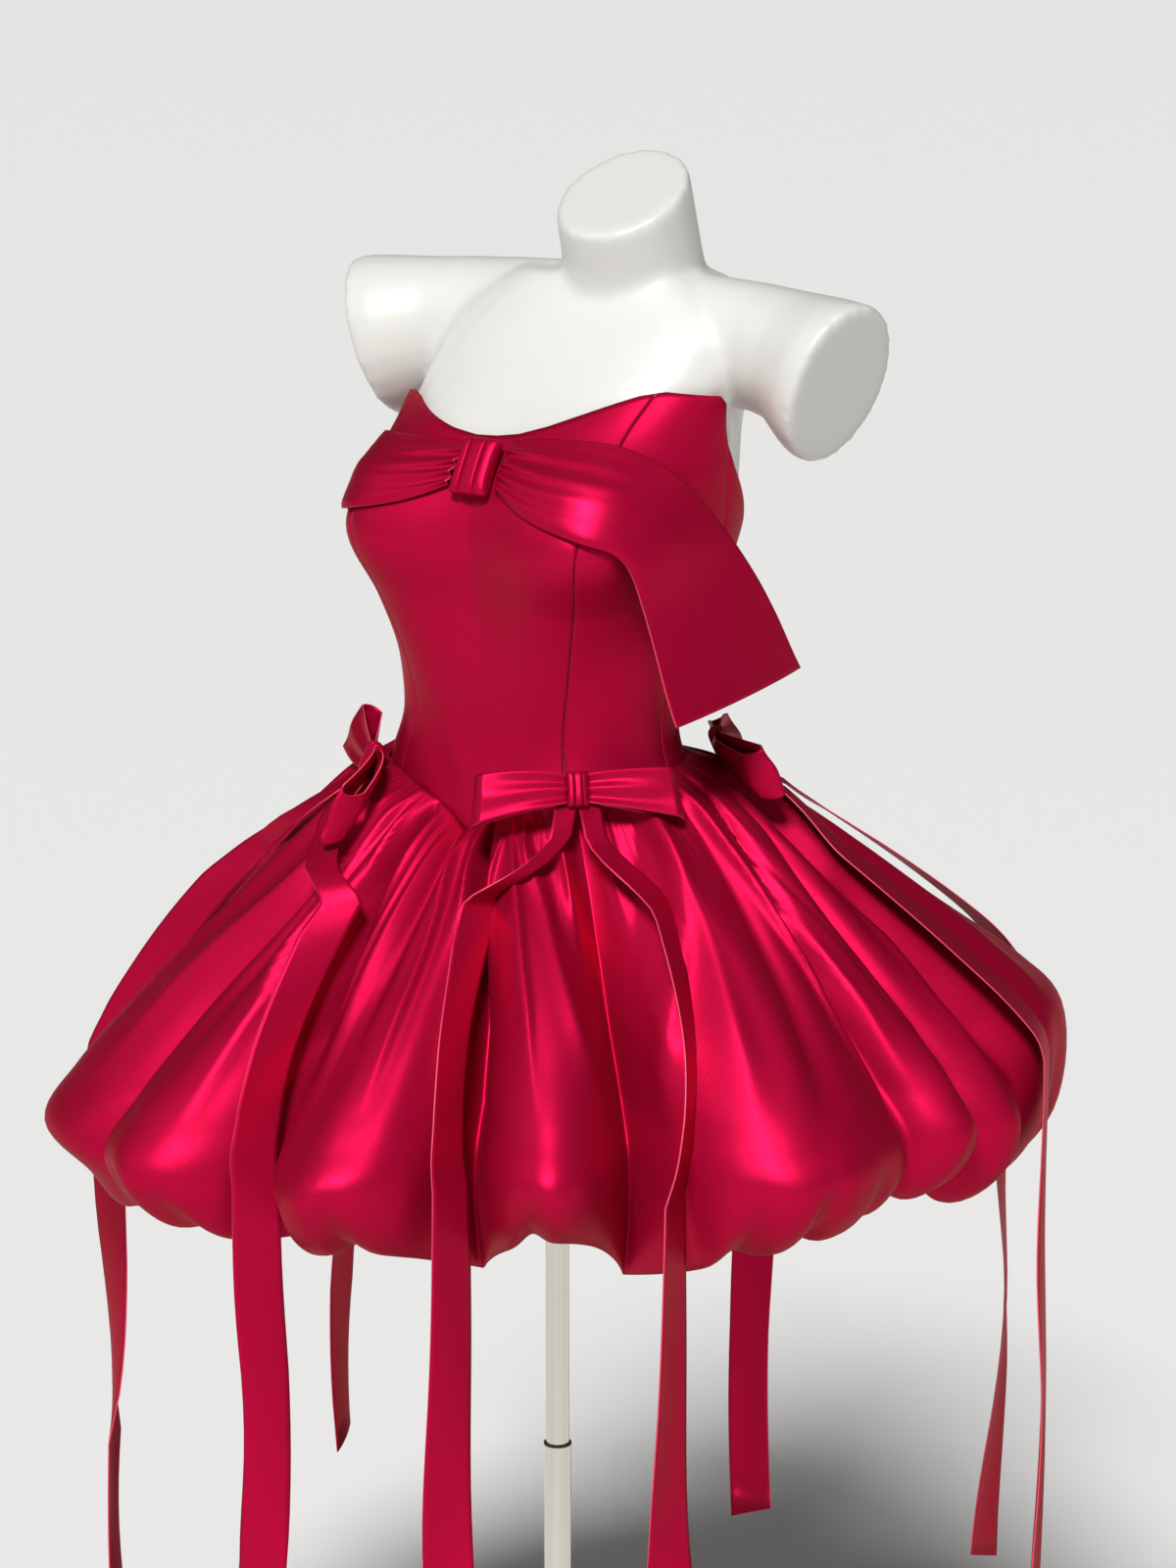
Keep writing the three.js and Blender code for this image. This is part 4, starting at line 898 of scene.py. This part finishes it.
for bow in bows:
    label = bow["name"]
    makeKnot("waist_knot_" + label, "bow_" + label + "_knot", bow["angle"], waistBow["lean"],
             bowFrame(bow)[0], waistBow["knot"], waistBow["knotFolds"])
    makeLoop(bow, 1, "waist_loop_a_" + label, "bow_" + label + "_loop_a")
    makeLoop(bow, -1, "waist_loop_b_" + label, "bow_" + label + "_loop_b")
    makeStreamer(bow, 0, "streamer_a_" + label, "bow_" + label + "_streamer_a")
    makeStreamer(bow, 1, "streamer_b_" + label, "bow_" + label + "_streamer_b")
print("waist bows tied")

# Dress form and stand

formShape = dict(weld=0.01, voxel=3, relax=0.5, rounds=26)
jointRing = dict(radius=11.3, height=1.6, down=0.4, sides=48)  # the dark line where the pole's two tubes meet


def makeForm():
    bm = bmesh.new()
    bm.from_mesh(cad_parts["dress_form"].data)
    bmesh.ops.remove_doubles(bm, verts=bm.verts, dist=formShape["weld"] * mm)
    piece = finishMesh("form_body", bm, formWhite, ["dress_form"])
    remesh = piece.modifiers.new("even", "REMESH")
    remesh.mode = "VOXEL"
    remesh.voxel_size = formShape["voxel"] * mm
    remesh.use_smooth_shade = True
    relax = piece.modifiers.new("relax", "SMOOTH")
    relax.factor = formShape["relax"]
    relax.iterations = formShape["rounds"]


makeForm()
for name in ("pole_upper", "pole_lower", "stand_base"):
    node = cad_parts[name]
    node.data.materials.clear()
    node.data.materials.append(steel)


def makeJointRing():
    bm = bmesh.new()
    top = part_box("pole_lower")[1][2]
    radius, height = jointRing["radius"] * mm, jointRing["height"] * mm
    bmesh.ops.create_cone(
        bm, cap_ends=True, segments=jointRing["sides"], radius1=radius, radius2=radius, depth=height,
    )
    bmesh.ops.translate(bm, verts=bm.verts, vec=(0, 0, top - jointRing["down"] * mm))
    finishMesh("pole_joint_line", bm, jointDark, smooth=False)


makeJointRing()
print("form and stand set up")

# Floor, light and camera

view = dict(azimuth=34, elevation=14, distance=4.0, aim=(0, 0, 1.022), lens=117.0, right=0.0246, sensor=36)
studio = dict(
    floorHalf=80, floor=(0.86, 0.855, 0.84), floorRoughness=0.7, air=(0.80, 0.81, 0.83, 1), airStrength=0.1,
)


def makeStage():
    bm = bmesh.new()
    bmesh.ops.create_grid(bm, x_segments=1, y_segments=1, size=studio["floorHalf"])
    mesh = bpy.data.meshes.new("floor")
    bm.to_mesh(mesh)
    bm.free()
    mesh.materials.append(plainFinish("floorPaint", studio["floor"], studio["floorRoughness"]))
    floor = bpy.data.objects.new("floor", mesh)
    bpy.context.scene.collection.objects.link(floor)
    bpy.context.scene.view_settings.view_transform = "Standard"
    world = bpy.data.worlds.new("studio")
    bpy.context.scene.world = world
    world.use_nodes = True
    background = world.node_tree.nodes["Background"]
    background.inputs["Color"].default_value = studio["air"]
    background.inputs["Strength"].default_value = studio["airStrength"]


def towards(azimuth, elevation):  # unit vector from the middle, the way the view's angles are counted
    a, e = math.radians(azimuth), math.radians(elevation)
    return Vector((math.sin(a) * math.cos(e), -math.cos(a) * math.cos(e), math.sin(e)))


def makeLight(name, azimuth, elevation, spread, strength):  # far and soft, so that the floor is lit evenly
    data = bpy.data.lights.new(name, "SUN")
    data.angle = math.radians(spread)
    data.energy = strength
    lamp = bpy.data.objects.new(name, data)
    away = towards(azimuth, elevation)
    lamp.location = away * view["distance"]
    lamp.rotation_euler = (-away).to_track_quat("-Z", "Y").to_euler()
    bpy.context.scene.collection.objects.link(lamp)


def makeCamera():
    back = towards(view["azimuth"], view["elevation"])
    across = towards(view["azimuth"] + 90, 0)
    data = bpy.data.cameras.new("camera")
    data.lens = view["lens"]
    data.sensor_width = view["sensor"]
    camera = bpy.data.objects.new("camera", data)
    camera.location = Vector(view["aim"]) + back * view["distance"] + across * view["right"]
    camera.rotation_mode = "QUATERNION"
    camera.rotation_quaternion = (-back).to_track_quat("-Z", "Y")
    bpy.context.scene.collection.objects.link(camera)
    bpy.context.scene.camera = camera


makeStage()
makeLight("keyLamp", azimuth=22, elevation=47, spread=14, strength=3.7)
makeLight("fillLamp", azimuth=-50, elevation=30, spread=40, strength=0.3)
makeCamera()
print("stage lit")
